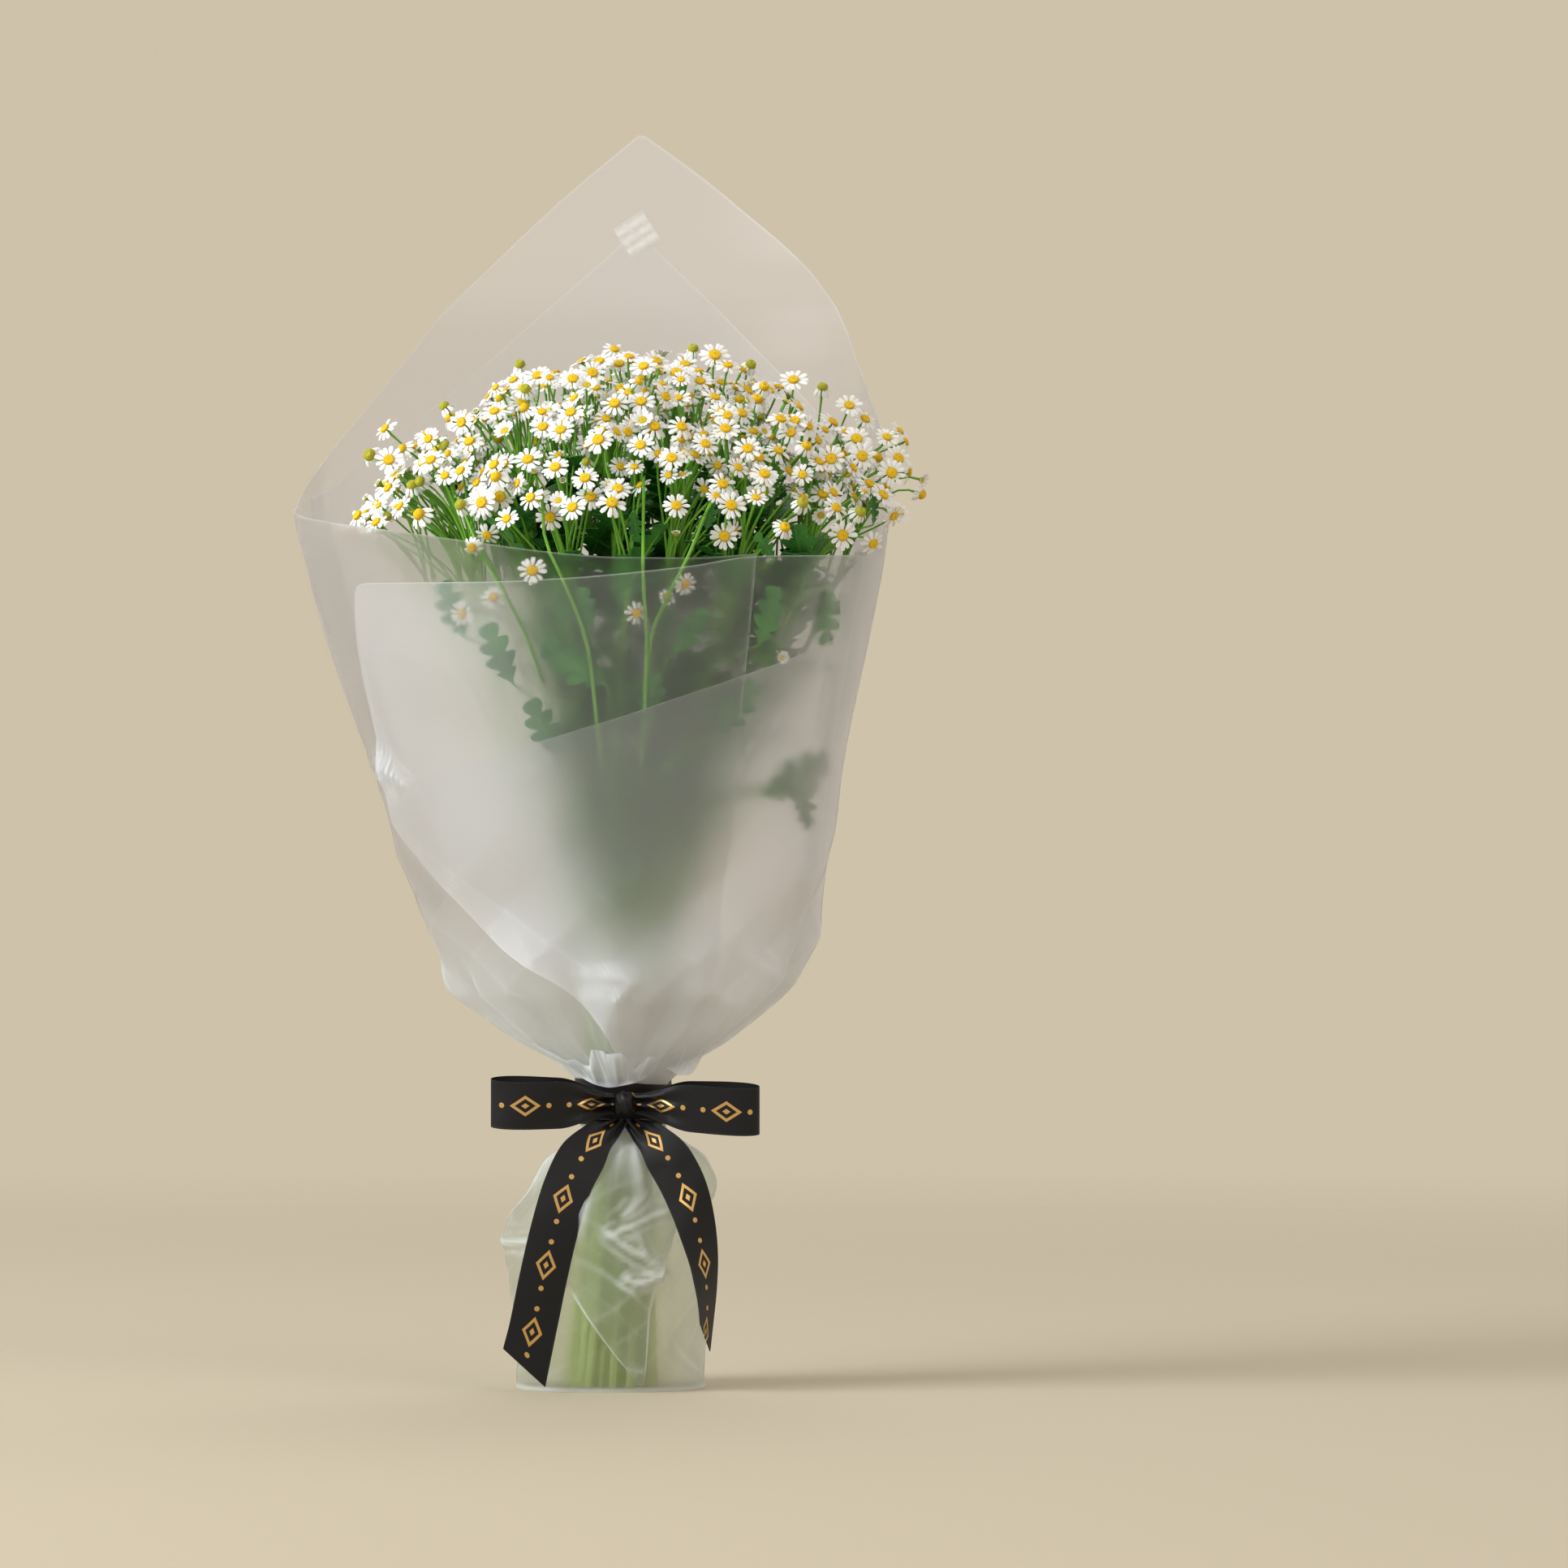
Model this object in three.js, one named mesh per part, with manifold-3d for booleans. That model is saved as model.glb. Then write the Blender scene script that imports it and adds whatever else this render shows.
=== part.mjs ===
// A hand-tied bunch of daisies in frosted film, bound at its waist by twine and a ribbon with a bow.
// It stands on its level cut stems inside a flat-bottomed film bag.
// Millimetres, +Z up, front towards -Y. The origin is where the binding's axis meets the bag's underside.
import * as THREE from "three";
import Module from "manifold-3d";

const wasm = await Module();
wasm.setup();

// ---- driving dimensions ----
const FILM = 0.6; // thickness of a film sheet
const LAYER = 1.2; // from one film layer to the next
const WAIST_Z = 150; // height of the binding
const RIBBON = { width: 25, thick: 0.8 };
const SPRAYS = 40;
const HEADS = 182; // flower heads in the whole bunch
const PETALS = 5; // simplified from about a dozen, to wide blunt ones
const HEAD = { radius: 8, notch: 4.2, tipAngle: 0.3, dome: 1.9, rise: 0.5, base: 0.9 };
const STALK = { top: 0.85, root: 0.7, shortest: 34, spread: 18 };
const DOME = { top: 549, fall: 86, power: 2.4, halfWidth: 152, halfDepth: 112, shift: 8.4, depth: 14 };
const STEM_TOP = 45; // a main stem ends this far under the dome
const STEM_FOOT_Z = 0.9; // stems stand on the bag's floor
const TWIST = 0.5; // radians that the stems turn from TWIST_TOP down to the foot
const TWIST_TOP = 460;

// The bunch's outline at each height: [height, half-width, half-depth].
const BUNCH = [
  [0, 25, 23], [125, 16.4, 16.4], [165, 16.4, 16.4], [219, 22, 20], [262, 36, 29],
  [305, 55, 42], [348, 76, 56], [391, 98, 71], [430, 116, 84], [460, 125, 91], [550, 145, 106],
];
// The gathered wrap's outline: [height, centre, left, right, front, back].
const WRAP = [
  [150, 0, 20.7, 20.7, 20.7, 20.7], [163, 0, 20.7, 20.7, 20.7, 20.7], [171, 0, 34, 34, 28, 27],
  [197, 0, 76, 80, 58, 54], [210, 0, 92, 92, 70, 64], [243, 0, 103, 103, 82, 74], [284, 0, 118, 111, 89, 81],
  [324, 0, 131, 116, 95, 87], [409, 0, 159, 133, 103, 97], [437, 0, 166, 138, 105, 100],
  [465, 0, 172, 141, 106, 102], [510, 1.4, 172, 143, 108, 105], [555, 2.9, 172, 143, 110, 107],
  [600, 4.4, 172, 143, 110, 111], [640, 5.9, 172, 143, 110, 119], [676, 7.4, 172, 143, 110, 128],
];
// The foot bag's outline, in the same columns.
const BAG = [
  [0, -6.6, 50, 50, 45, 44], [30, -6.6, 50, 49, 46, 44], [64, -6.6, 55, 50, 47, 45],
  [82, -6.6, 54, 49, 46, 44], [105, -4.6, 42, 47, 40, 38], [120, -2.6, 36, 42, 33, 32],
  [130, 0, 28, 30, 27, 27], [137, 0, 22.9, 22.9, 22.9, 22.9], [149.4, 0, 22.9, 22.9, 22.9, 22.9],
];
const COLUMN = 15; // degrees between the corners of a film sheet, counted from the right towards the back
const PLEATS = 8;

// ---- numbers and vectors ----
const radians = (degrees) => (degrees * Math.PI) / 180;
const { smoothstep } = THREE.MathUtils;
const mix = (a, b, t) => a + (b - a) * t;

// A row of a table, interpolated at x in its first column.
function lookUp(table, x) {
  if (x <= table[0][0]) return table[0];
  for (let i = 1; i < table.length; i++) {
    const [a, b] = [table[i - 1], table[i]];
    if (x <= b[0]) return a.map((value, k) => mix(value, b[k], (x - a[0]) / (b[0] - a[0])));
  }
  return table.at(-1);
}

// A seeded stream of numbers from 0 to 1.
function randomFrom(seed) {
  let state = seed >>> 0;
  return () => {
    state = (Math.imul(state, 1664525) + 1013904223) >>> 0;
    return state / 4294967296;
  };
}

// ---- solids ----
// A closed mesh from corner points and faces. Equal points are merged, and faces that collapse are dropped.
function solidOf(points, faces) {
  const seen = new Map();
  const vertProperties = [];
  const index = points.map((p) => {
    const key = p.map((c) => Math.round(c * 1e4)).join();
    if (!seen.has(key)) {
      seen.set(key, seen.size);
      vertProperties.push(...p);
    }
    return seen.get(key);
  });
  const kept = faces.map((face) => face.map((i) => index[i]))
    .filter(([a, b, c]) => a !== b && b !== c && c !== a);
  const build = (triangles) => new wasm.Manifold(new wasm.Mesh({
    numProp: 3,
    vertProperties: new Float32Array(vertProperties),
    triVerts: new Uint32Array(triangles.flat()),
  }));
  const made = build(kept);
  return made.volume() < 0 ? build(kept.map(([a, b, c]) => [a, c, b])) : made;
}

function joined(solids) {
  return solids.reduce((whole, next) => whole.add(next));
}

function geometryOf(solid) {
  const mesh = solid.getMesh();
  const positions = new Float32Array(mesh.numVert * 3);
  for (let i = 0; i < mesh.numVert; i++) {
    positions.set(mesh.vertProperties.subarray(i * mesh.numProp, i * mesh.numProp + 3), i * 3);
  }
  const geometry = new THREE.BufferGeometry();
  geometry.setAttribute("position", new THREE.BufferAttribute(positions, 3));
  geometry.setIndex(new THREE.BufferAttribute(mesh.triVerts, 1));
  geometry.computeVertexNormals();
  return geometry;
}

// Faces between neighbouring rings of the same number of corners. A thin wall has two faces that run opposite
// ways, and mirrored(i, j) is true on one of them, so that both are split along the same diagonal.
function ringFaces(ringCount, corners, closed, mirrored) {
  const faces = [];
  for (let i = 0; i < ringCount - (closed ? 0 : 1); i++) {
    const [here, next] = [i * corners, ((i + 1) % ringCount) * corners];
    for (let j = 0; j < corners; j++) {
      const k = (j + 1) % corners;
      if (mirrored(i, j)) faces.push([here + j, here + k, next + j], [here + k, next + k, next + j]);
      else faces.push([here + j, here + k, next + k], [here + j, next + k, next + j]);
    }
  }
  return faces;
}

// A tube through rings of corner points, capped at its ends unless it closes on itself.
function tubeOf(rings, closed = false, mirrored = () => false) {
  const corners = rings[0].length;
  const faces = ringFaces(rings.length, corners, closed, mirrored);
  if (!closed) {
    const last = (rings.length - 1) * corners;
    for (let j = 2; j < corners; j++) faces.push([0, j, j - 1], [last, last + j - 1, last + j]);
  }
  return solidOf(rings.flat(), faces);
}

// ---- film ----
// A point of a gathered film surface, out from the outline by offset.
function onOutline(table, degrees, z, offset) {
  const [, centre, left, right, front, back] = lookUp(table, z);
  const [c, s] = [Math.cos(radians(degrees)), Math.sin(radians(degrees))];
  const pleat = 1 + pleatDepth(table, z) * Math.cos(radians(degrees) * PLEATS);
  return [
    centre + ((c > 0 ? right : left) * pleat + offset) * c,
    ((s > 0 ? back : front) * pleat + offset) * s,
    z,
  ];
}

// Pleats are deepest just above and below the ribbon and fade out from it.
function pleatDepth(table, z) {
  if (table === BAG) return z > 82 && z < 132 ? 0.05 : 0;
  return z > 164 && z < 240 ? 0.1 * (1 - (z - 164) / 76) : 0;
}

// A sheet between two grids of points listed by columns, with both faces split into triangles alike.
function sheetOf(inner, outer) {
  const [columns, rows] = [inner.length, inner[0].length];
  const at = (side, j, i) => side * columns * rows + j * rows + i;
  const faces = [];
  const quad = (a, b, c, d) => faces.push([a, b, c], [a, c, d]);
  for (let j = 0; j < columns - 1; j++) {
    for (let i = 0; i < rows - 1; i++) {
      quad(at(1, j, i), at(1, j + 1, i), at(1, j + 1, i + 1), at(1, j, i + 1));
      quad(at(0, j + 1, i + 1), at(0, j + 1, i), at(0, j, i), at(0, j, i + 1));
    }
    quad(at(0, j, 0), at(0, j + 1, 0), at(1, j + 1, 0), at(1, j, 0));
    quad(at(1, j, rows - 1), at(1, j + 1, rows - 1), at(0, j + 1, rows - 1), at(0, j, rows - 1));
  }
  for (let i = 0; i < rows - 1; i++) {
    const last = columns - 1;
    quad(at(0, 0, i), at(1, 0, i), at(1, 0, i + 1), at(0, 0, i + 1));
    quad(at(1, last, i), at(0, last, i), at(0, last, i + 1), at(1, last, i + 1));
  }
  return solidOf([...inner.flat(), ...outer.flat()], faces);
}

// A sheet of the wrap. top and bottom give the height of its edges at an angle, and lift is how far it stands
// off its layer once it is clear of the binding.
function filmSheet({ from, to, layer, top, bottom, lift = 0 }) {
  const columns = Math.round((to - from) / COLUMN) + 1;
  const side = (offset) => Array.from({ length: columns }, (_, j) => {
    const angle = from + j * COLUMN;
    const [low, high] = [bottom(angle), top(angle)];
    return WRAP.map(([level]) => {
      const z = Math.min(high, Math.max(low, level));
      return onOutline(WRAP, angle, z, offset + lift * smoothstep(z, 165, 215));
    });
  });
  return sheetOf(side(layer * LAYER), side(layer * LAYER + FILM));
}

// Edges of the film sheets as [angle, height]. The two peaks at the back are [share of half-width, height].
const PEAK_LEFT = [
  [0, 676], [0.227, 641], [0.42, 607], [0.58, 575], [0.706, 548], [0.84, 516], [0.934, 492], [0.985, 475],
  [1, 465],
];
const PEAK_RIGHT = [
  [0, 676], [0.25, 650], [0.427, 629], [0.54, 615], [0.653, 598], [0.732, 579], [0.817, 557], [0.883, 534],
  [0.94, 512], [0.976, 489], [1, 468],
];
const BACK_SHEET_FRONT = [[180, 465], [215, 456], [240, 443], [268, 434], [300, 436]];
const INNER_LEFT = [[0, 622], [0.34, 567], [0.75, 504], [0.94, 476], [1, 468]];
const INNER_RIGHT = [[0, 622], [0.3, 580], [0.85, 497], [1, 462]];
const FRONT_TOP = [[195, 335], [210, 418], [285, 430], [330, 437]];
const FRONT_BOTTOM = [[195, 318], [210, 285], [225, 258], [240, 225], [255, 197], [270, 163], [285, WAIST_Z]];
const MIDDLE_TOP = [[225, 320], [255, 336], [285, 360], [345, 403]];
const RIGHT_RIM = [[-15, 447], [0, 468]];

function peakHeight(degrees, left, right) {
  const share = Math.cos(radians(degrees));
  return lookUp(share > 0 ? right : left, Math.abs(share))[1];
}

function backSheetTop(degrees) {
  if (degrees < 0) return lookUp(RIGHT_RIM, degrees)[1];
  if (degrees > 180) return lookUp(BACK_SHEET_FRONT, degrees)[1];
  return peakHeight(degrees, PEAK_LEFT, PEAK_RIGHT);
}

const waist = () => WAIST_Z;
const backSheet = () => filmSheet({ from: -15, to: 300, layer: 1, top: backSheetTop, bottom: waist });
const innerSheet = () => filmSheet({
  from: 15, to: 165, layer: 0, bottom: waist, lift: -1.6,
  top: (degrees) => peakHeight(degrees, INNER_LEFT, INNER_RIGHT),
});
const middleSheet = () => filmSheet({
  from: 225, to: 345, layer: 0, bottom: waist,
  top: (degrees) => lookUp(MIDDLE_TOP, degrees)[1],
});
const frontSheet = () => filmSheet({
  from: 195, to: 330, layer: 2, lift: 4.8,
  top: (degrees) => lookUp(FRONT_TOP, degrees)[1],
  bottom: (degrees) => lookUp(FRONT_BOTTOM, degrees)[1],
});

// The bag round the cut ends: a crumpled skirt with a flat closed floor and an open neck under the ribbon.
function footBag() {
  const random = randomFrom(7);
  const columns = 16;
  const crumpled = (z) => (z > 1 && z < 130 ? mix(-2, 2, random()) : 0);
  const crumples = BAG.map(([z]) => Array.from({ length: columns }, () => crumpled(z)));
  const skin = (inset) => BAG.map(([z], i) => Array.from({ length: columns }, (_, j) => (
    onOutline(BAG, (j * 360) / columns, i === 0 ? inset : z, crumples[i][j] - inset)
  )));
  return tubeOf([...skin(0), ...skin(FILM).reverse()], false, (ring) => ring >= BAG.length);
}

// A pointed corner of film, tied in under the ribbon, that hangs in front of the bag. Each row is its height,
// the angles of its left and right edge, and how far it stands out from the bag.
const CORNER = [
  [4, 287, 289, 5.5], [32, 264, 293, 5.5], [60, 247, 298, 5.5], [100, 235, 314, 6.5], [118, 230, 316, 6.5],
  [130, 230, 314, 5], [137, 234, 310, LAYER], [149, 240, 302, LAYER],
];
const CORNER_COLUMNS = 5;
function hangingCorner() {
  const side = (extra) => Array.from({ length: CORNER_COLUMNS }, (_, j) => (
    CORNER.map(([z, left, right, stand]) => (
      onOutline(BAG, mix(left, right, j / (CORNER_COLUMNS - 1)), z, stand + extra)
    ))
  ));
  return sheetOf(side(0), side(FILM));
}

// ---- ribbon ----
// A band of ribbon through stations of [point, half of its width as a vector].
function ribbonOf(stations, closed = false) {
  const rings = stations.map(([point, half], i) => {
    const last = stations.length - 1;
    const [before] = stations[closed ? (i + last) % (last + 1) : Math.max(0, i - 1)];
    const [after] = stations[closed ? (i + 1) % (last + 1) : Math.min(last, i + 1)];
    const normal = new THREE.Vector3().subVectors(after, before).cross(half).setLength(RIBBON.thick / 2);
    const corner = (w, n) => point.clone().addScaledVector(half, w).addScaledVector(normal, n).toArray();
    return [corner(-1, -1), corner(1, -1), corner(1, 1), corner(-1, 1)];
  });
  return tubeOf(rings, closed, (_, corner) => corner >= 2);
}

// A flat ring round the bunch's waist.
function ringOf({ inner, thick, low, high }) {
  const outer = inner + thick;
  const rings = Array.from({ length: RING_SIDES }, (_, i) => {
    const angle = (i * 2 * Math.PI) / RING_SIDES;
    const at = (r, z) => [r * Math.cos(angle), r * Math.sin(angle), z];
    return [at(inner, low), at(outer, low), at(outer, high), at(inner, high)];
  });
  return tubeOf(rings, true);
}

const RING_SIDES = 20;
const BAND = { inner: 25.3, thick: RIBBON.thick, low: 138, high: 162 };
const TWINE = { inner: 18.9, thick: 1.4, low: 144, high: 156 }; // round the stems, hidden under the film

const KNOT = { x: 1.4, y: -33, z: 151.5, halfWidth: 8, halfDepth: 6.3, halfHeight: 8 };
function knot() {
  const geometry = new THREE.SphereGeometry(1, 10, 7);
  geometry.scale(KNOT.halfWidth, KNOT.halfDepth, KNOT.halfHeight).translate(KNOT.x, KNOT.y, KNOT.z);
  const threes = (array) => (
    Array.from({ length: array.length / 3 }, (_, i) => [...array.slice(3 * i, 3 * i + 3)])
  );
  return solidOf(threes(geometry.getAttribute("position").array), threes(geometry.index.array));
}

// A bow loop from the knot out to reach, as a teardrop in plan. side is -1 for the left and 1 for the right.
const LOOP = { depth: 22, pinched: 0.42, stations: 14, swing: 9 };
function bowLoop(side, reach, endDrop) {
  const start = KNOT.x + side * KNOT.halfWidth;
  const stations = Array.from({ length: LOOP.stations }, (_, i) => {
    const turn = ((i + 0.5) * 2 * Math.PI) / LOOP.stations;
    const out = (1 - Math.cos(turn)) / 2;
    const x = start + side * out * (reach - Math.abs(start));
    const y = KNOT.y - LOOP.swing * out + (LOOP.depth / 2) * Math.sin(turn) * Math.sqrt(out);
    const spread = mix(LOOP.pinched, 1, smoothstep(out, 0, 0.45));
    const half = new THREE.Vector3(0, 0, (RIBBON.width / 2) * spread);
    return [new THREE.Vector3(x, y, KNOT.z - endDrop * out), half];
  });
  return ribbonOf(stations, true);
}

// Tails hang in front of the bag: [x, y, height, half-width, turn away from the viewer in degrees].
const TAIL_LEFT = [
  [-1.1, -34, 143.5, 5, 0], [-10.6, -38, 136, 8.5, 0], [-20.6, -43, 124, 12.5, 0], [-28.6, -48, 108, 12.5, 0],
  [-34.6, -52, 88, 12.5, 0], [-41.1, -53, 60, 12.5, 0], [-45.6, -52, 38, 12.5, 0],
];
const TAIL_LEFT_END = [new THREE.Vector3(-51, -50, 13.4), new THREE.Vector3(11.1, 0, -10.1)];
const TAIL_RIGHT = [
  [4.4, -32.4, 143.5, 5, 0], [14.4, -37, 135, 8.5, 5], [23.9, -43, 124, 12, 10], [32.9, -47, 108, 12.5, 20],
  [39.4, -49, 88, 12.5, 38], [43.9, -49, 64, 12.5, 58], [44.9, -47, 46, 12.5, 70],
];
const TAIL_RIGHT_END = [new THREE.Vector3(43.9, -45, 29), new THREE.Vector3(2.5, 11, -8)];
function ribbonTail(rows, end) {
  const stations = rows.map(([x, y, z, halfWidth, turn], i) => {
    const [a, b] = [rows[Math.max(0, i - 1)], rows[Math.min(rows.length - 1, i + 1)]];
    const slope = i === 0 ? 0 : Math.atan2(b[0] - a[0], a[2] - b[2]); // level where it leaves the knot
    const half = new THREE.Vector3(Math.cos(slope), Math.tan(radians(turn)), Math.sin(slope));
    return [new THREE.Vector3(x, y, z), half.setLength(halfWidth)];
  });
  return ribbonOf([...stations, end]);
}

// A square of clear tape that holds the inner sheet's peak to the sheet behind it.
const TAPE = { width: 17, low: 612, high: 627, inset: 3, thick: 0.5 };
function tape() {
  const half = TAPE.width / 2;
  const rings = [TAPE.low, TAPE.high].map((z) => {
    const [, centre, , , , back] = lookUp(WRAP, z);
    const y = back - TAPE.inset;
    const at = (side, depth) => [centre + side * half, y - depth, z];
    return [at(-1, 0), at(1, 0), at(1, TAPE.thick), at(-1, TAPE.thick)];
  });
  return tubeOf(rings);
}

// ---- where the flowers are ----
const GOLDEN_ANGLE = Math.PI * (3 - Math.sqrt(5));
// Each spray's seat in the bunch's unit disc.
const seats = Array.from({ length: SPRAYS }, (_, i) => {
  const r = Math.sqrt((i + 0.5) / SPRAYS);
  return [r * Math.cos(i * GOLDEN_ANGLE), r * Math.sin(i * GOLDEN_ANGLE)];
});

// A point of the unit disc at height z. All stems follow the same map, so they never cross.
function inBunch([u, v], z) {
  const [, halfWidth, halfDepth] = lookUp(BUNCH, z);
  const turn = TWIST * Math.min(0, z / TWIST_TOP - 1);
  const shift = z < WAIST_Z ? (1 - z / WAIST_Z) * BAG[0][1]
    : DOME.shift * smoothstep(z, WAIST_Z, 460);
  return new THREE.Vector3(
    shift + halfWidth * (u * Math.cos(turn) - v * Math.sin(turn)),
    halfDepth * (u * Math.sin(turn) + v * Math.cos(turn)),
    z,
  );
}

function domeHeight(x, y) {
  const share = Math.hypot((x - DOME.shift) / DOME.halfWidth, y / DOME.halfDepth);
  return DOME.top - DOME.fall * share ** DOME.power;
}

const seatsOnDome = seats.map((seat) => inBunch(seat, DOME.top));

function nearestSeat(x, y) {
  const distances = seatsOnDome.map((seat) => Math.hypot(x - seat.x, y - seat.y));
  return distances.indexOf(Math.min(...distances));
}

const STEM_LEVELS = [STEM_FOOT_Z, 125, 165, 219, 305, 391];
const stemTopOf = (i) => domeHeight(seatsOnDome[i].x, seatsOnDome[i].y) - STEM_TOP;

// A point of a main stem, which is straight above the last of its levels.
function onStem(i, z) {
  const [low, top] = [STEM_LEVELS.at(-1), stemTopOf(i)];
  if (z <= low) return inBunch(seats[i], z);
  return inBunch(seats[i], low).lerp(inBunch(seats[i], top), (z - low) / (top - low));
}

// One throw of a flower head onto the dome, with the stalk that would carry it.
function headAt(random) {
  const [r, angle] = [Math.sqrt(random()), 2 * Math.PI * random()];
  const x = DOME.shift + DOME.halfWidth * r * Math.cos(angle);
  const y = DOME.halfDepth * r * Math.sin(angle);
  const centre = new THREE.Vector3(x, y, domeHeight(x, y) - DOME.depth * random());
  const facing = new THREE.Vector3(
    (1.5 * (x - DOME.shift)) / DOME.halfWidth + mix(-0.45, 0.45, random()),
    (1.3 * y) / DOME.halfDepth - 0.5 + mix(-0.35, 0.35, random()),
    1,
  ).normalize();
  const seat = nearestSeat(x, y);
  const rootZ = Math.min(stemTopOf(seat) - 3, centre.z - STALK.shortest - STALK.spread * random());
  return { centre, facing, seat, root: onStem(seat, rootZ), spin: 2 * Math.PI * random() };
}

function distanceToStalk(point, { root, centre }) {
  const nearest = new THREE.Line3(root, centre).closestPointToPoint(point, true, new THREE.Vector3());
  return nearest.distanceTo(point);
}

const onStalk = ({ root, centre }, t) => new THREE.Vector3().lerpVectors(root, centre, t);

// True where b lies wholly above or below the plane of a.
function stacked(a, b) {
  const tilt = Math.sqrt(1 - Math.min(1, a.facing.dot(b.facing)) ** 2);
  const apart = Math.abs(new THREE.Vector3().subVectors(b.centre, a.centre).dot(a.facing));
  return apart > HEAD.radius * tilt + HEAD.dome + HEAD.base + 0.5;
}

function clearOfEachOther(a, b) {
  const besideEachOther = a.centre.distanceTo(b.centre) > 2 * HEAD.radius + 0.4;
  if (!besideEachOther && !stacked(a, b) && !stacked(b, a)) return false;
  const reach = HEAD.radius + STALK.top + 0.6;
  if (distanceToStalk(a.centre, b) < reach || distanceToStalk(b.centre, a) < reach) return false;
  if (a.seat === b.seat) return true;
  return [0, 0.25, 0.5, 0.75].every((t) => distanceToStalk(onStalk(a, t), b) > 2 * STALK.top + 0.8);
}

// The height of the film's highest edge at an angle. The edge runs straight from one column to the next.
function rimHeight(degrees) {
  const edge = (angle) => (angle > 300 ? lookUp(FRONT_TOP, angle)[1] : backSheetTop(angle));
  const turned = degrees < -15 ? degrees + 360 : degrees;
  const column = Math.floor(turned / COLUMN) * COLUMN;
  return mix(edge(column), edge(column + COLUMN), (turned - column) / COLUMN);
}

const FILM_CLEAR = 3.5;
// True where a ball round a point is inside the film or above its edge.
function clearOfFilm(point, radius) {
  const [, centre, left, right, front, back] = lookUp(WRAP, point.z);
  const [width, depth] = [point.x > centre ? right : left, point.y > 0 ? back : front];
  const [across, along] = [(point.x - centre) / width, point.y / depth];
  const inside = (1 - Math.hypot(across, along)) * Math.min(width, depth) > radius + FILM_CLEAR;
  return inside || point.z - radius > rimHeight((Math.atan2(along, across) * 180) / Math.PI) + 2;
}

// Heads are thrown at random onto the dome, and each stays if it clears the film and every head before it.
const THROWS = 9000;
function throwHeads() {
  const random = randomFrom(11);
  const heads = [];
  for (let tries = 0; tries < THROWS && heads.length < HEADS; tries++) {
    const head = headAt(random);
    const stalkClear = [0.3, 0.5, 0.7, 0.85].every((t) => clearOfFilm(onStalk(head, t), STALK.top));
    if (!stalkClear || !clearOfFilm(head.centre, HEAD.radius)) continue;
    if (heads.every((other) => clearOfEachOther(head, other))) heads.push(head);
  }
  return heads;
}

// ---- flowers ----
// A flower head on its stalk, in one closed mesh: a ring of blunt petals round a raised centre.
function headOnStalk({ centre, facing, root, spin }) {
  const side = new THREE.Vector3(0.3, 1, 0.1).cross(facing).normalize();
  const up = new THREE.Vector3().crossVectors(facing, side);
  const around = (middle, radius, angle) => middle.clone()
    .addScaledVector(side, radius * Math.cos(angle)).addScaledVector(up, radius * Math.sin(angle));
  const at = (radius, angle, height) => (
    around(centre, radius, angle).addScaledVector(facing, height).toArray()
  );
  const petal = (2 * Math.PI) / PETALS;
  const points = [at(0, 0, HEAD.dome)];
  for (let p = 0; p < PETALS; p++) {
    const middle = spin + p * petal;
    points.push(
      at(HEAD.notch, middle - petal / 2, 0), at(HEAD.radius, middle - HEAD.tipAngle, HEAD.rise),
      at(HEAD.radius, middle + HEAD.tipAngle, HEAD.rise),
    );
  }
  const rim = 3 * PETALS;
  const corners = [0.5, 1.5, 2.5].map((turn) => spin - petal / 2 + (turn * 2 * Math.PI) / 3);
  points.push(...corners.map((angle) => at(STALK.top, angle, -HEAD.base)));
  points.push(...corners.map((angle) => around(root, STALK.root, angle).toArray()));
  const [neck, foot] = [rim + 1, rim + 4];
  const faces = [[foot, foot + 2, foot + 1]];
  for (let j = 0; j < rim; j++) {
    const [a, b, corner] = [1 + j, 1 + ((j + 1) % rim), Math.floor(j / PETALS)];
    faces.push([0, a, b], [b, a, neck + corner]);
    if ((j + 1) % PETALS === 0) faces.push([b, neck + corner, neck + ((corner + 1) % 3)]);
  }
  for (let s = 0; s < 3; s++) {
    const n = (s + 1) % 3;
    faces.push([neck + s, foot + s, foot + n], [neck + s, foot + n, neck + n]);
  }
  return solidOf(points, faces);
}

const STEM_RADIUS = [[0, 2.15], [165, 1.95], [260, 1.75], [440, 1.5]];
function mainStem(i) {
  const rings = [...STEM_LEVELS, stemTopOf(i)].map((z) => {
    const middle = onStem(i, z);
    const radius = lookUp(STEM_RADIUS, z)[1];
    return [0.25, 0.75, 1.25, 1.75].map((turn) => [
      middle.x + radius * Math.cos(turn * Math.PI), middle.y + radius * Math.sin(turn * Math.PI), z,
    ]);
  });
  return tubeOf(rings);
}

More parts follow.
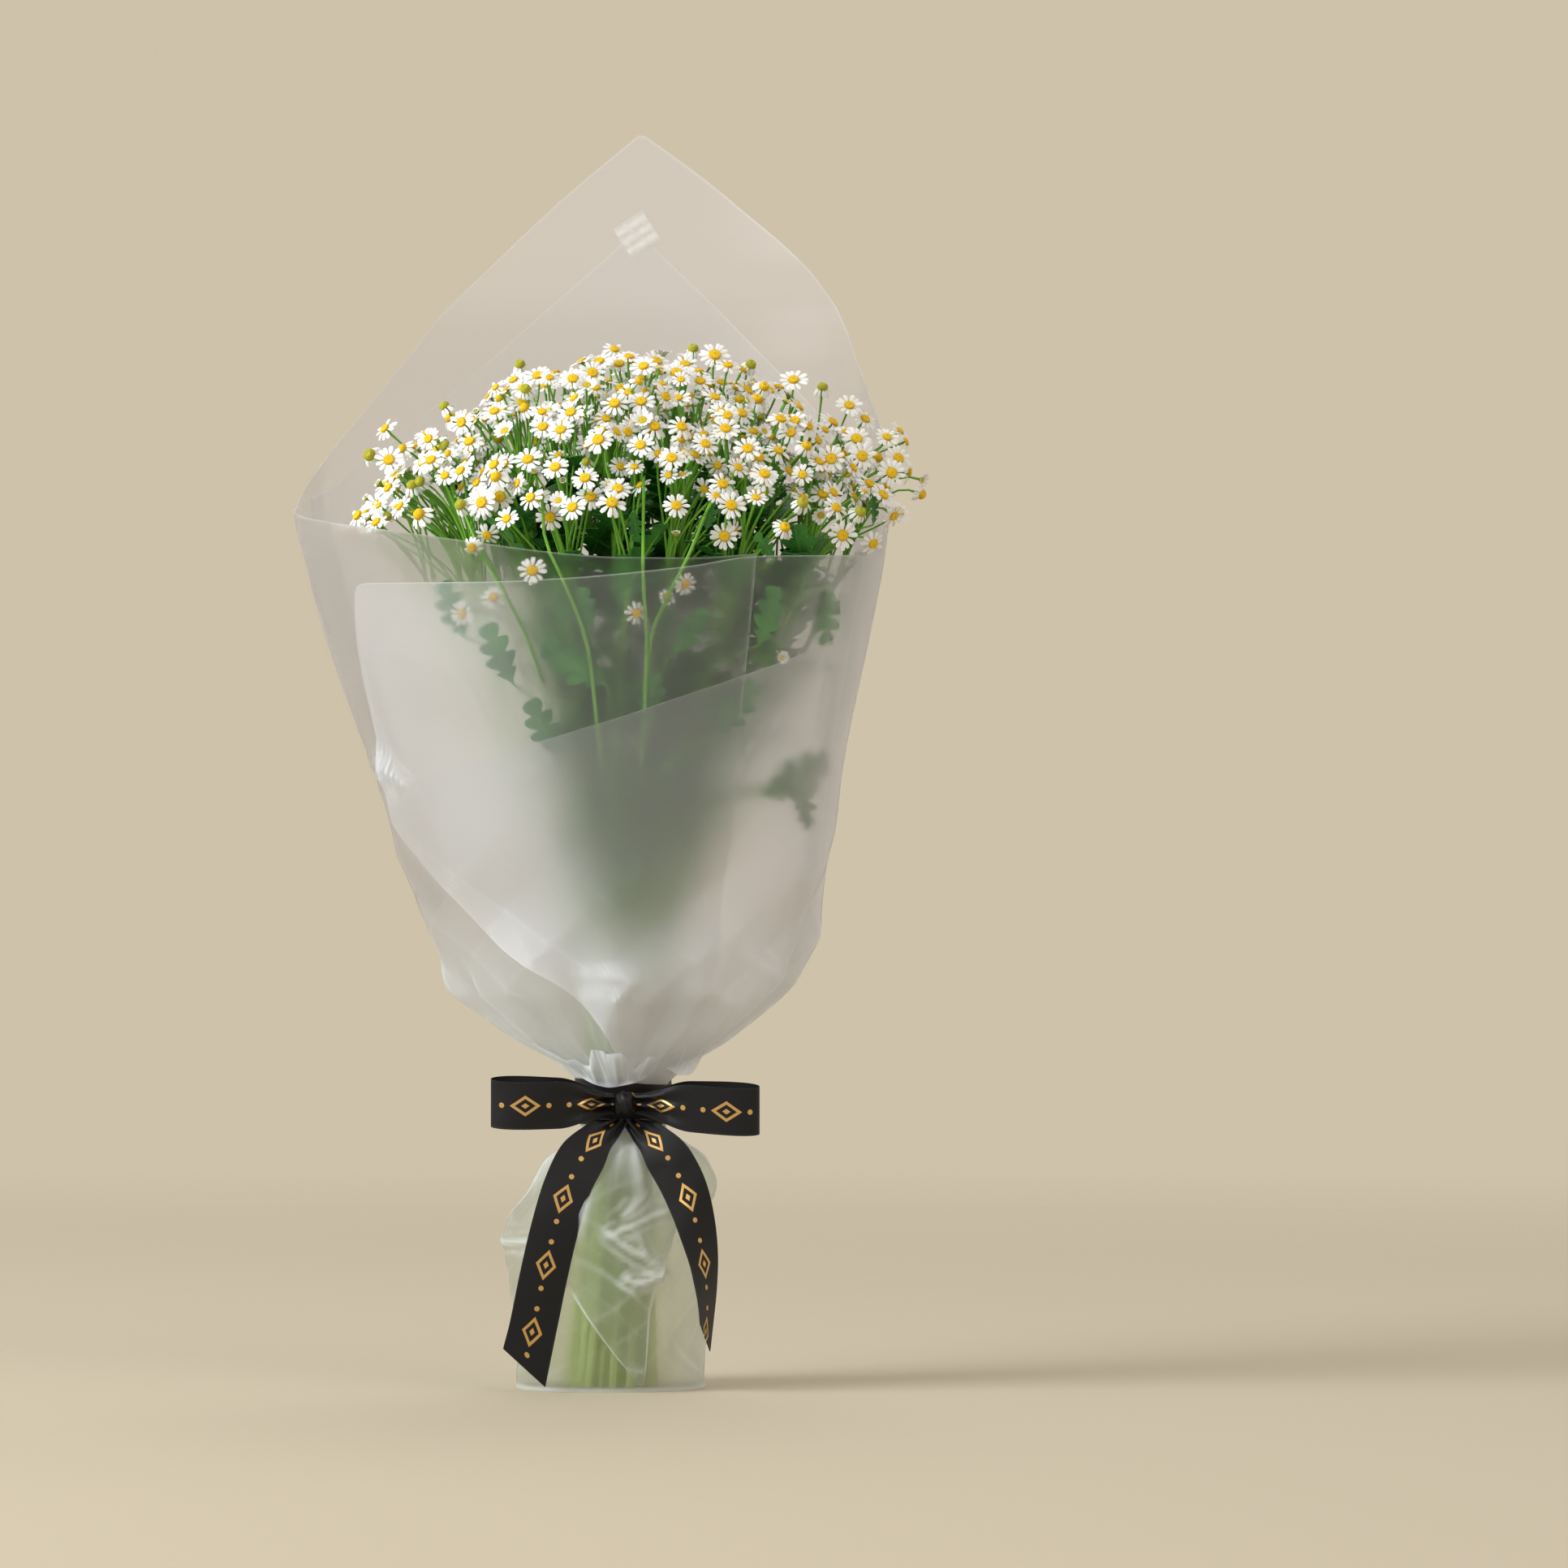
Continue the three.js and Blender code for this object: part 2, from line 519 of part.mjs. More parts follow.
// A lobed leaf: one thin arched blade, with each pair of edge points as shares of its length and half-width.
const LEAF = { thick: 0.7, arch: 0.08, pairs: [[0.34, 1], [0.5, 0.4], [0.76, 0.8]] };
function leaf({ root, direction, lean, length, halfWidth }) {
  const across = new THREE.Vector3(-Math.sin(direction), Math.cos(direction), 0);
  const along = new THREE.Vector3(
    Math.cos(direction) * Math.sin(lean), Math.sin(direction) * Math.sin(lean), Math.cos(lean),
  );
  const face = new THREE.Vector3().crossVectors(along, across);
  const at = (share, width, lift) => root.clone().addScaledVector(along, share * length)
    .addScaledVector(across, width * halfWidth)
    .addScaledVector(face, lift - LEAF.arch * length * share * share).toArray();
  const sides = LEAF.pairs.flatMap(([share, width]) => [[share, -width], [share, width]]);
  const outline = [[0, 0], ...sides, [1, 0]];
  const blade = [[0, 1, 2], [1, 3, 2], [3, 4, 2], [3, 5, 4], [5, 6, 4], [5, 7, 6]];
  const edge = [0, 1, 3, 5, 7, 6, 4, 2];
  const under = outline.length;
  const points = [LEAF.thick / 2, -LEAF.thick / 2].flatMap((lift) => outline.map(([s, w]) => at(s, w, lift)));
  const faces = blade.flatMap(([a, b, c]) => [[a, b, c], [under + a, under + c, under + b]]);
  edge.forEach((a, i) => {
    const b = edge[(i + 1) % edge.length];
    faces.push([a, under + a, under + b], [a, under + b, b]);
  });
  return solidOf(points, faces);
}

// How far a leaf may reach from its stem before it meets the next spray's cell.
function roomFrom(seat, direction, clear, z) {
  const [, halfWidth, halfDepth] = lookUp(BUNCH, z);
  return seats.reduce((room, other) => {
    const [dx, dy] = [(other[0] - seat[0]) * halfWidth, (other[1] - seat[1]) * halfDepth];
    const distance = Math.hypot(dx, dy);
    const along = (dx * Math.cos(direction) + dy * Math.sin(direction)) / (distance || 1);
    return along > 0.05 ? Math.min(room, Math.max(0, (distance / 2 - clear) / along)) : room;
  }, 60);
}

function leavesOf(seat, random) {
  const outward = Math.atan2(seat[1] * DOME.halfDepth, seat[0] * DOME.halfWidth);
  const atRim = Math.hypot(...seat) > 0.8;
  const size = atRim ? { length: 42, halfWidth: 10 } : { length: 34, halfWidth: 6 };
  return Array.from({ length: atRim ? 2 : 1 }, () => {
    const z = mix(305, 385, random());
    const direction = atRim ? outward + mix(-0.4, 0.4, random()) : random() * 2 * Math.PI;
    const room = roomFrom(seat, direction, size.halfWidth + 1.2, z);
    const lean = Math.asin(Math.min(0.8, (Math.min(atRim ? 20 : 12, room) + 4) / size.length));
    return { root: inBunch(seat, z), direction, lean, ...size };
  });
}

function spray(i, heads) {
  return joined([
    mainStem(i),
    ...heads.filter(({ seat }) => seat === i).map(headOnStalk),
    ...leavesOf(seats[i], randomFrom(101 + i)).map(leaf),
  ]);
}

// ---- the bunch ----
const material = (color, roughness) => new THREE.MeshStandardMaterial({ color, roughness, metalness: 0 });
const film = new THREE.MeshStandardMaterial({
  color: 0xe4e0dc, roughness: 0.45, transparent: true, opacity: 0.5,
});
const satin = material(0x101012, 0.4);
const daisyGreen = material(0x9db36a, 0.6);

const bunch = new THREE.Group();
function add(name, solid, look) {
  const mesh = new THREE.Mesh(geometryOf(solid), look);
  mesh.name = name;
  bunch.add(mesh);
}

const heads = throwHeads();
seats.forEach((_, i) => add(`spray_${String(i + 1).padStart(2, "0")}`, spray(i, heads), daisyGreen));
add("binding_twine", ringOf(TWINE), material(0xb08d57, 0.9));
add("film_inner_sheet", innerSheet(), film);
add("film_middle_sheet", middleSheet(), film);
add("film_back_sheet", backSheet(), film);
add("film_front_sheet", frontSheet(), film);
add("film_hanging_corner", hangingCorner(), film);
add("foot_bag", footBag(), film);
add("ribbon_band", ringOf(BAND), satin);
add("ribbon_knot", knot(), satin);
add("bow_loop_left", bowLoop(-1, 68.6, -1), satin);
add("bow_loop_right", bowLoop(1, 72.4, 3), satin);
add("ribbon_tail_left", ribbonTail(TAIL_LEFT, TAIL_LEFT_END), satin);
add("ribbon_tail_right", ribbonTail(TAIL_RIGHT, TAIL_RIGHT_END), satin);
add("clear_tape", tape(), film);

export default bunch;
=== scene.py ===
"""A hand-tied bunch of daisies in frosted film with a satin bow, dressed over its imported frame.

Lengths are millimetres, unless a name ends in _m. +Z is up, and the front faces -Y.
"""
import math

import bpy
import numpy as np
from bpy.props import FloatProperty, FloatVectorProperty, IntProperty, PointerProperty
from mathutils import Matrix, Vector


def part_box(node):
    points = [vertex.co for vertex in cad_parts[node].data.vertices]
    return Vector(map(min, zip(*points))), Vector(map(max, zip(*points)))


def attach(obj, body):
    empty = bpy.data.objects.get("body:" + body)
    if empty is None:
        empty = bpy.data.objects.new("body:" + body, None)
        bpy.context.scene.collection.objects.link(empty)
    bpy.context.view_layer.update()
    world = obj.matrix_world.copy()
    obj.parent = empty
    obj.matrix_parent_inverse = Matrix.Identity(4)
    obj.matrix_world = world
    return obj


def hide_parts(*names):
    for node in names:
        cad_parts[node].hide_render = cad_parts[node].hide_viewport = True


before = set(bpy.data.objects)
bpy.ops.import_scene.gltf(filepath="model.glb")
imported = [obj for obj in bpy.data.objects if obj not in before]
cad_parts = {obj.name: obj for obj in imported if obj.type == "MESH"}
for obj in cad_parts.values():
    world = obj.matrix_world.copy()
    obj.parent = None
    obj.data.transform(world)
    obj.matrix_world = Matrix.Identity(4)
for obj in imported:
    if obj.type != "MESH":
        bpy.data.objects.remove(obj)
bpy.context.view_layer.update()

bl_info = {
    "name": "Bunch of Daisies",
    "version": (1, 0, 0),
    "blender": (4, 5, 0),
    "location": "View3D > Sidebar > Daisies",
    "description": "Dresses a wrapped bunch of daisies over its packed frame",
    "category": "Add Mesh",
}

MM = 0.001
LEFT, RIGHT = -1, 1

# ---- sizes shared with the solids ----
WAIST_Z = 150
LAYER = 1.2  # from one film layer to the next
DOME = {"top": 549, "fall": 86, "power": 2.4, "half_width": 152, "half_depth": 112, "shift": 8.4, "depth": 14}
STALK = {"top": 0.85, "shortest": 34, "spread": 18}
SPRAYS = 40
SOLID_HEADS = 182
SOLID_HEAD = {"radius": 8, "dome": 1.9, "base": 0.9}
SOLID_GAPS = {"stacked": 0.5, "rims": 0.4, "head_to_stalk": 0.6, "stalks": 0.8}
STEM_TOP = 45  # below the dome
TWIST, TWIST_TOP = 0.5, 460
STEM_FOOT, STRAIGHT_ABOVE = 0.9, 391
STEM_RADIUS = [(0, 2.15), (165, 1.95), (260, 1.7), (380, 1.4), (470, 1.15)]

# The bunch's outline at each height: height, half-width, half-depth.
BUNCH = [
    (0, 25, 23), (125, 16.4, 16.4), (165, 16.4, 16.4), (219, 22, 20), (262, 36, 29), (305, 55, 42),
    (348, 76, 56), (391, 98, 71), (430, 116, 84), (460, 125, 91), (550, 145, 106),
]
# The gathered wrap's outline: height, centre, left, right, front, back.
WRAP = [
    (150, 0, 20.7, 20.7, 20.7, 20.7), (163, 0, 20.7, 20.7, 20.7, 20.7), (171, 0, 34, 34, 28, 27),
    (197, 0, 76, 80, 58, 54), (210, 0, 92, 92, 70, 64), (243, 0, 103, 103, 82, 74),
    (284, 0, 118, 111, 89, 81), (324, 0, 131, 116, 95, 87), (409, 0, 159, 133, 103, 97),
    (437, 0, 166, 138, 105, 100), (465, 0, 172, 141, 106, 102), (510, 1.4, 172, 143, 108, 105),
    (555, 2.9, 172, 143, 110, 107), (600, 4.4, 172, 143, 110, 111), (640, 5.9, 172, 143, 110, 119),
    (676, 7.4, 172, 143, 110, 128),
]
# The same for the film that is shown, which is gathered more closely above the ribbon.
DRAPE = [
    (150, 0, 20.7, 20.7, 20.7, 20.7), (157, 0, 20.7, 20.7, 20.7, 20.7), (171, 0, 31, 33, 29, 27),
    (184, 0, 53, 53, 43, 41), (197, 0, 70, 71, 57, 53), (210, 0, 87, 86, 69, 63), (223, 0, 94, 93.5, 75, 69),
    (236, 0, 99, 98.5, 79, 72), (249, 0, 104, 102, 82, 74), *[row for row in WRAP if row[0] > 280],
]
# The foot bag's outline, in the same columns.
BAG = [
    (0, -6.6, 50, 50, 45, 44), (30, -6.6, 50, 49, 46, 44), (64, -6.6, 55, 50, 47, 45),
    (82, -6.6, 54, 49, 46, 44), (105, -4.6, 42, 47, 40, 38), (120, -2.6, 36, 42, 33, 32),
    (130, 0, 28, 30, 27, 27), (137, 0, 22.9, 22.9, 22.9, 22.9), (149.4, 0, 22.9, 22.9, 22.9, 22.9),
]
# Edges of the film sheets as angle and height. The two peaks at the back are share of half-width and height.
PEAK_LEFT = [
    (0, 676), (0.227, 641), (0.42, 607), (0.58, 575), (0.706, 548), (0.84, 516), (0.934, 492), (0.985, 475),
    (1, 465),
]
PEAK_RIGHT = [
    (0, 676), (0.25, 650), (0.427, 629), (0.54, 615), (0.653, 598), (0.732, 579), (0.817, 557), (0.883, 534),
    (0.94, 512), (0.976, 489), (1, 468),
]
BACK_SHEET_FRONT = [(180, 465), (215, 456), (240, 443), (268, 434), (300, 436)]
INNER_LEFT = [(0, 622), (0.34, 567), (0.75, 504), (0.94, 476), (1, 468)]
INNER_RIGHT = [(0, 622), (0.3, 580), (0.85, 497), (1, 462)]
FRONT_TOP = [(195, 335), (210, 418), (285, 430), (330, 437)]
RIGHT_RIM = [(-15, 447), (0, 468)]
SOLID_COLUMN = 15  # degrees between the corners of a solid sheet
# The front edges as they are shown, with the bends that the solids leave out.
SHOWN_RIGHT_RIM = [(-30, 441), (-15, 449), (0, 468)]
SHOWN_BACK_FRONT = [
    (180, 465), (205, 458), (226, 452), (244, 445.5), (260, 439.6), (270, 437.6), (285, 437.4), (300, 439.6),
]
SHOWN_FRONT_TOP = [
    (195, 302), (203, 336), (206, 366), (209.5, 402), (212.5, 423), (216, 425), (244, 425), (260, 426.7),
    (270, 429), (285, 433), (300, 438.5), (330, 440),
]
SHOWN_FRONT_BOTTOM = [
    (195, 298), (205, 280), (217, 262), (227, 241), (240, 225), (252, 211), (262, 190), (272, 163),
    (285, 150),
]
SHOWN_MIDDLE_TOP = [(217, 321), (221, 323), (258, 346), (283, 364), (304, 379), (330, 396), (345, 403)]
SHOWN_MIDDLE_BOTTOM = [
    (217, 318), (218.5, 298), (221, 276), (227, 255), (240, 231), (252, 214), (262, 192), (272, 160),
    (280, 150), (345, 150),
]

KNOT = {"x": 1.4, "y": -33, "z": 151.5, "half_width": 8, "half_depth": 6.3, "half_height": 8}
LOOP = {"depth": 22, "pinched": 0.42, "swing": 9, "lean": 2.4, "left_reach": 68.6, "right_reach": 72.4}
RIBBON_WIDTH = 25
BAND = {"radius": 25.6, "z": 152, "half_width": 12}
TWINE = {"turns": 6, "radius": 19.6, "half_thick": 0.95, "lowest": 145.1, "pitch": 1.96}
TAPE = {"half_side": 9.5, "turn": 33, "thick": 0.12}

CAMERA = {"x_m": 0.0854, "z_m": 0.320, "lens": 185.9}
FLOOR = {"radius_m": 3.0, "reach_m": 2.6}
# name: place and target in metres, size, power and colour
LAMPS = {
    "key": ((-2.9, -1.5, 2.4), (0, 0, 0.35), 2.2, 112, (0.95, 0.98, 1.0)),
    "side": ((-4.4, -1.8, 1.3), (0, 0, 0.3), 2.4, 150, (0.81, 0.92, 1.0)),
    "fill": ((2.2, -2.4, 2.9), (0, 0, 0.35), 2.2, 24, (1.0, 0.99, 0.97)),
    "back": ((0.4, 2.2, 3.6), (0, 0, 0.4), 2.0, 26, (0.97, 0.99, 1.0)),
}
# Linear colours of the finishes and of the light from the backdrop.
COLORS = {
    "petal": (0.82, 0.83, 0.815), "petal_shade": (0.72, 0.74, 0.715), "petal_root": (0.78, 0.80, 0.45),
    "disc": (0.78, 0.47, 0.010), "disc_light": (0.88, 0.64, 0.022), "disc_rim": (0.62, 0.33, 0.008),
    "disc_young": (0.33, 0.40, 0.04), "disc_dimple": (0.26, 0.15, 0.01), "disc_floret_shade": (0.50, 0.26, 0.008),
    "stem_low": (0.56, 0.68, 0.26), "stem_low_pale": (0.66, 0.74, 0.36), "stem": (0.07, 0.27, 0.016),
    "stem_pale": (0.18, 0.44, 0.03), "stem_fibres": (0.28, 0.42, 0.08),
    "leaf": (0.012, 0.105, 0.012), "leaf_light": (0.045, 0.23, 0.028), "leaf_specks": (0.06, 0.28, 0.03),
    "leaf_veins": (0.12, 0.30, 0.06),
    # The film's darker colour for the back below its fold is painted shade, and the foot's darker green tint
    # is partly painted shade.
    "film": (0.992, 0.994, 0.999), "film_foot_painted_shade": (0.72, 0.77, 0.65), "film_painted_shade": (0.5, 0.47, 0.42),
    "film_glow": (0.95, 0.97, 1.0), "film_chalk": (0.93, 0.955, 1.0), "film_sheen": (0.90, 0.955, 1.0),
    "satin": (0.006, 0.006, 0.007), "satin_edge": (0.02, 0.02, 0.02), "gold": (0.72, 0.45, 0.16),
    "jute_dark": (0.25, 0.16, 0.07), "jute": (0.62, 0.46, 0.26), "jute_worn": (0.40, 0.30, 0.18),
    "tape": (0.93, 0.92, 0.90), "tape_bubbles": (0.99, 0.98, 0.96), "backdrop_light": (0.65, 0.583, 0.512),
}


def look_up(table, x):
    """The rest of a table's row at x in its first column, on straight lines between the rows."""
    if x <= table[0][0]:
        return table[0][1:]
    for before, after in zip(table, table[1:]):
        if x <= after[0]:
            t = (x - before[0]) / (after[0] - before[0])
            return [a + (b - a) * t for a, b in zip(before[1:], after[1:])]
    return table[-1][1:]


def smoothstep(x, low, high):
    t = np.clip((np.asarray(x, float) - low) / (high - low), 0, 1)
    return t * t * (3 - 2 * t)


class Profile:
    """Smooth curves through a table's rows that never swing past them."""

    def __init__(self, rows):
        table = np.array(rows, float)
        self.x, self.y = table[:, 0], table[:, 1:]
        steps = np.diff(self.x)[:, None]
        slopes = np.diff(self.y, axis=0) / steps
        before, after = slopes[:-1], slopes[1:]
        same_way = before * after > 0
        total = np.where(same_way, before + after, 1)
        self.slope = np.vstack([slopes[:1], np.where(same_way, 2 * before * after / total, 0), slopes[-1:]])

    def at(self, x):
        """One array for each column, at each x."""
        x = np.clip(np.asarray(x, float), self.x[0], self.x[-1])
        i = np.clip(np.searchsorted(self.x, x, side="right") - 1, 0, len(self.x) - 2)
        step = self.x[i + 1] - self.x[i]
        t = (x - self.x[i]) / step
        columns = []
        for k in range(self.y.shape[1]):
            y0, y1 = self.y[i, k], self.y[i + 1, k]
            m0, m1 = self.slope[i, k] * step, self.slope[i + 1, k] * step
            columns.append(
                y0 * (2 * t**3 - 3 * t**2 + 1) + m0 * (t**3 - 2 * t**2 + t)
                + y1 * (3 * t**2 - 2 * t**3) + m1 * (t**3 - t**2)
            )
        return columns


def random_from(seed):
    """The solids' seeded stream of numbers from 0 to 1, so that each head is where its solid is."""
    state = seed
    while True:
        state = (state * 1664525 + 1013904223) % 2**32
        yield state / 2**32


def between(low, high, random):
    return low + (high - low) * next(random)


# ---- shader expressions ----
class Wire:
    """An output of a shader node. Arithmetic on wires and numbers adds Math nodes."""

    def __init__(self, tree, socket):
        self.tree = tree
        self.socket = socket

    def math(self, operation, *others):
        return maths(self.tree, operation, self, *others)

    def __add__(self, other):
        return self.math("ADD", other)

    def __sub__(self, other):
        return self.math("SUBTRACT", other)

    def __rsub__(self, other):
        return maths(self.tree, "SUBTRACT", other, self)

    def __mul__(self, other):
        return self.math("MULTIPLY", other)

    def __truediv__(self, other):
        return self.math("DIVIDE", other)

    def __abs__(self):
        return self.math("ABSOLUTE")

    __radd__ = __add__
    __rmul__ = __mul__

    def step(self, low, high):
        """0 below low and 1 above high, with a soft ramp between. low above high turns it round."""
        sockets = {"Value": self, "From Min": low, "From Max": high}
        return add_node(self.tree, "ShaderNodeMapRange", {"interpolation_type": "SMOOTHSTEP"}, sockets)


def maths(tree, operation, *values):
    return add_node(tree, "ShaderNodeMath", {"operation": operation}, dict(enumerate(values)))


def add_node(tree, kind, settings=None, sockets=None, output=0):
    """A node of any kind. Settings are set first, then its sockets get values or wires."""
    made = tree.nodes.new(kind)
    for name, value in (settings or {}).items():
        setattr(made, name, value)
    for name, value in (sockets or {}).items():
        if isinstance(value, Wire):
            tree.links.new(value.socket, made.inputs[name])
        elif isinstance(value, (tuple, list)) and len(value) == 3 and made.inputs[name].type == "RGBA":
            made.inputs[name].default_value = (*value, 1)
        else:
            made.inputs[name].default_value = value
    return Wire(tree, made.outputs[output]) if made.outputs else None


def mixed(tree, share, a, b):
    """Colour a where share is 0, and b where it is 1."""
    return add_node(tree, "ShaderNodeMix", {"data_type": "RGBA"}, {0: share, 6: a, 7: b}, 2)


def place_of(tree, scale=(1, 1, 1)):
    """Object coordinates, stretched."""
    place = add_node(tree, "ShaderNodeTexCoord", output="Object")
    return add_node(tree, "ShaderNodeMapping", {}, {"Vector": place, "Scale": scale})


def noise(tree, scale, place=None, detail=3.0, roughness=0.5):
    """Soft noise over object coordinates, or over a place of its own."""
    sockets = {"Vector": place or place_of(tree), "Scale": scale, "Detail": detail, "Roughness": roughness}
    return add_node(tree, "ShaderNodeTexNoise", {}, sockets, "Fac")


def cells(tree, scale):
    """The distance from the middle of each of many small cells."""
    return add_node(tree, "ShaderNodeTexVoronoi", {}, {"Vector": place_of(tree), "Scale": scale}, "Distance")


def parts_of(tree, vector):
    """The wires of a vector's three numbers."""
    x = add_node(tree, "ShaderNodeSeparateXYZ", {}, {"Vector": vector})
    return [Wire(tree, output) for output in x.socket.node.outputs]


def uv_of(tree):
    """The wires of the UV map's two numbers."""
    return parts_of(tree, add_node(tree, "ShaderNodeUVMap", {"uv_map": "UVMap"}))[:2]


def bump(tree, height, distance_m, strength):
    sockets = {"Height": height, "Distance": distance_m, "Strength": strength}
    return add_node(tree, "ShaderNodeBump", {}, sockets)


def blend_of(tree, share, a, b):
    """Shader a where share is 0, and b where it is 1."""
    return add_node(tree, "ShaderNodeMixShader", {}, {0: share, 1: a, 2: b})


def material(name, shade):
    """A material whose surface is what shade(tree) returns."""
    made = bpy.data.materials.new(name)
    made.use_nodes = True
    tree = made.node_tree
    tree.nodes.clear()
    add_node(tree, "ShaderNodeOutputMaterial", {}, {"Surface": shade(tree)})
    return made


def principled(tree, **sockets):
    named = {name.replace("_", " ").title().replace("Ior", "IOR"): value for name, value in sockets.items()}
    return add_node(tree, "ShaderNodeBsdfPrincipled", {}, named)


# ---- finishes ----
def petal_finish(tree):
    """Matt white, cream at the root, with two fine grooves along each petal."""
    along, across = uv_of(tree)
    grooves = (across * (6 * math.pi)).math("SINE")
    white = mixed(tree, noise(tree, 900) * 0.3, COLORS["petal"], COLORS["petal_shade"])
    color = mixed(tree, along.step(0.35, 0.0) * 0.55, white, COLORS["petal_root"])
    return principled(
        tree, base_color=color, roughness=0.55, specular_ior_level=0.35,
        normal=bump(tree, grooves, 0.00012, 0.5),
    )


def disc_finish(tree):
    """Packed tiny florets, yellow to orange, greener where the head is young, with a dark dimple and
    painted shade in the gaps between the florets.
    """
    radius, age = uv_of(tree)
    florets = cells(tree, 1700.0)
    yellow = mixed(tree, noise(tree, 260), COLORS["disc"], COLORS["disc_light"])
    rim = mixed(tree, radius.step(0.6, 1.05) * 0.7, yellow, COLORS["disc_rim"])
    young = mixed(tree, age.step(0.75, 0.2), rim, COLORS["disc_young"])
    dimple = radius.step(0.2, 0.06) * age.step(0.4, 0.6) * 0.7
    dimpled = mixed(tree, dimple, young, COLORS["disc_dimple"])
    # Painted shade: darker orange in the gaps between the florets.
    color = mixed(tree, florets.step(0.3, 0.75) * 0.35, dimpled, COLORS["disc_floret_shade"])
    return principled(
        tree, base_color=color, roughness=0.75, specular_ior_level=0.25,
        normal=bump(tree, 1 - florets, 0.0004, 0.9),
    )


def stem_finish(tree):
    """Fresh green with fine ribs, paler and yellower low down: partly the stems' own paler ends, and partly
    painted light that brightens them where they show through the darker foot film.
    """
    place = place_of(tree)
    height = parts_of(tree, place)[2]
    fibres = noise(tree, 1.0, place_of(tree, (1600, 1600, 60)))
    patches = noise(tree, 45, place)
    # Partly painted light: the low stems are pale, which brightens them where they show through the foot
    # film.
    low = mixed(tree, patches, COLORS["stem_low"], COLORS["stem_low_pale"])
    high = mixed(tree, patches, COLORS["stem"], COLORS["stem_pale"])
    color = mixed(tree, height.step(0.10, 0.28), low, high)
    streaked = mixed(tree, fibres.step(0.35, 0.75) * 0.35, color, COLORS["stem_fibres"])
    return principled(
        tree, base_color=streaked, roughness=0.5, specular_ior_level=0.4,
        normal=bump(tree, fibres, 0.00025, 0.5),
    )


def leaf_finish(tree):
    """Deep green blades with a paler rib and side veins."""
    along, across = uv_of(tree)
    side = abs(across - 0.5)
    rib = side.step(0.055, 0.0)
    veins = ((along - side * 0.9) * 7.0).math("PINGPONG", 0.5).step(0.08, 0.0)
    specks = noise(tree, 700)
    green = mixed(tree, noise(tree, 60).step(0.3, 0.7), COLORS["leaf"], COLORS["leaf_light"])
    grained = mixed(tree, specks.step(0.4, 0.8) * 0.3, green, COLORS["leaf_specks"])
    color = mixed(tree, (rib + veins * 0.5) * 0.4, grained, COLORS["leaf_veins"])
    return principled(
        tree, base_color=color, roughness=0.5, specular_ior_level=0.4,
        normal=bump(tree, specks * 0.3 - rib - veins * 0.6, 0.0003, 0.6),
    )


# Each film's milky share as a part of the haze setting, and where it differs from plain frosted film.
# The foot's tint is darker and greener: partly painted shade on the foot, partly the green of the stems seen
# through it.
FOOT_LOOKS = {"blur": 0.42, "tint": COLORS["film_foot_painted_shade"], "gathers_m": (0.105, 0.14)}
FILMS = {
    "frosted_film": (1.0, {}),
    # The milky and glossy films get painted light: they are milkier and whiter at the front left.
    "milky_film": (1.6, {"chalky": 0.85, "gloss": 0.035, "painted_left_light": 0.13}),
    "glossy_film": (0.6, {"chalky": 0.8, "gloss": 0.014, "painted_left_light": 0.08}),
    # The creased back film gets painted shade below its level fold.
    "creased_shaded_film": (0.5, {"painted_fold_shade": 0.34, "gloss": 0.004}),
    "foot_film": (1.0, FOOT_LOOKS),
    "corner_film": (2.0, {**FOOT_LOOKS, "chalky": 0.4}),
}


def film_material(name, haze):
    share, looks = FILMS[name]
    return material(name, lambda tree: film_finish(tree, haze * share, **looks))


def film_finish(
    tree, haze, blur=0.36, tint=COLORS["film"], gathers_m=(0.265, 0.19), painted_fold_shade=0.0, chalky=0.25, gloss=0.006,
    painted_left_light=0.0,
):
    """Frosted film: a rough clear sheet that lets half of what is behind it straight through, with a milky
    share. Creases make it whiter, and so does the gathering between two heights. Below 0.40 to 0.47 m its
    haze is doubled, which is painted light that whitens the lower wrap. A sheet with painted fold shade is
    darker below its level fold at the back, which is painted shade. A sheet with painted left light is
    milkier and whiter at the front left, which is painted light from the lamps on that side."""
    crease = add_node(tree, "ShaderNodeAttribute", {"attribute_name": "crease"}, output="Fac")
    place = place_of(tree)
    across, depth, height = parts_of(tree, place)
    gathered = height.step(*gathers_m)
    # Painted light: below 0.40 to 0.47 m the haze is doubled, which whitens the lower wrap.
    wrapped = height.step(0.47, 0.40)
    mottle = noise(tree, 22, place, 4)
    grain = noise(tree, 1400, place, 2)
    # Painted shade: the back sheet's colour is darker below its level fold.
    painted_shade_mask = height.step(0.592, 0.562) * depth.step(0.0, 0.03) * painted_fold_shade
    clear = principled(
        tree, base_color=mixed(tree, painted_shade_mask, tint, COLORS["film_painted_shade"]), roughness=mottle * 0.06 + blur,
        ior=1.27, alpha=0.5, transmission_weight=1.0, normal=bump(tree, grain, 0.00003, 0.2),
    )
    glow = add_node(tree, "ShaderNodeBsdfTranslucent", {}, {"Color": COLORS["film_glow"]})
    chalk = add_node(tree, "ShaderNodeBsdfDiffuse", {}, {"Color": COLORS["film_chalk"]})
    milk = blend_of(tree, crease * 0.3 + gathered * 0.3 + chalky, glow, chalk)
    white = crease * 0.25 + gathered * 0.26 + wrapped * haze * 0.5 + haze * 0.5
    # Painted light: the front left is made milkier and whiter, standing in for the sheen of the lamps at the
    # left.
    if painted_left_light:
        painted_light_mask = (across + height * 0.35).step(0.1035, 0.0535) * depth.step(0.0, -0.02)
        white = white + painted_light_mask * (mottle * 0.8 + 0.6) * painted_left_light
    sheen_looks = {"Color": COLORS["film_sheen"], "Roughness": 0.6}
    sheen = add_node(tree, "ShaderNodeBsdfAnisotropic", {}, sheen_looks)
    return blend_of(tree, crease * 0.04 + gloss, blend_of(tree, white, clear, milk), sheen)


FOIL_PITCH = 36.0  # from one gold lozenge to the next


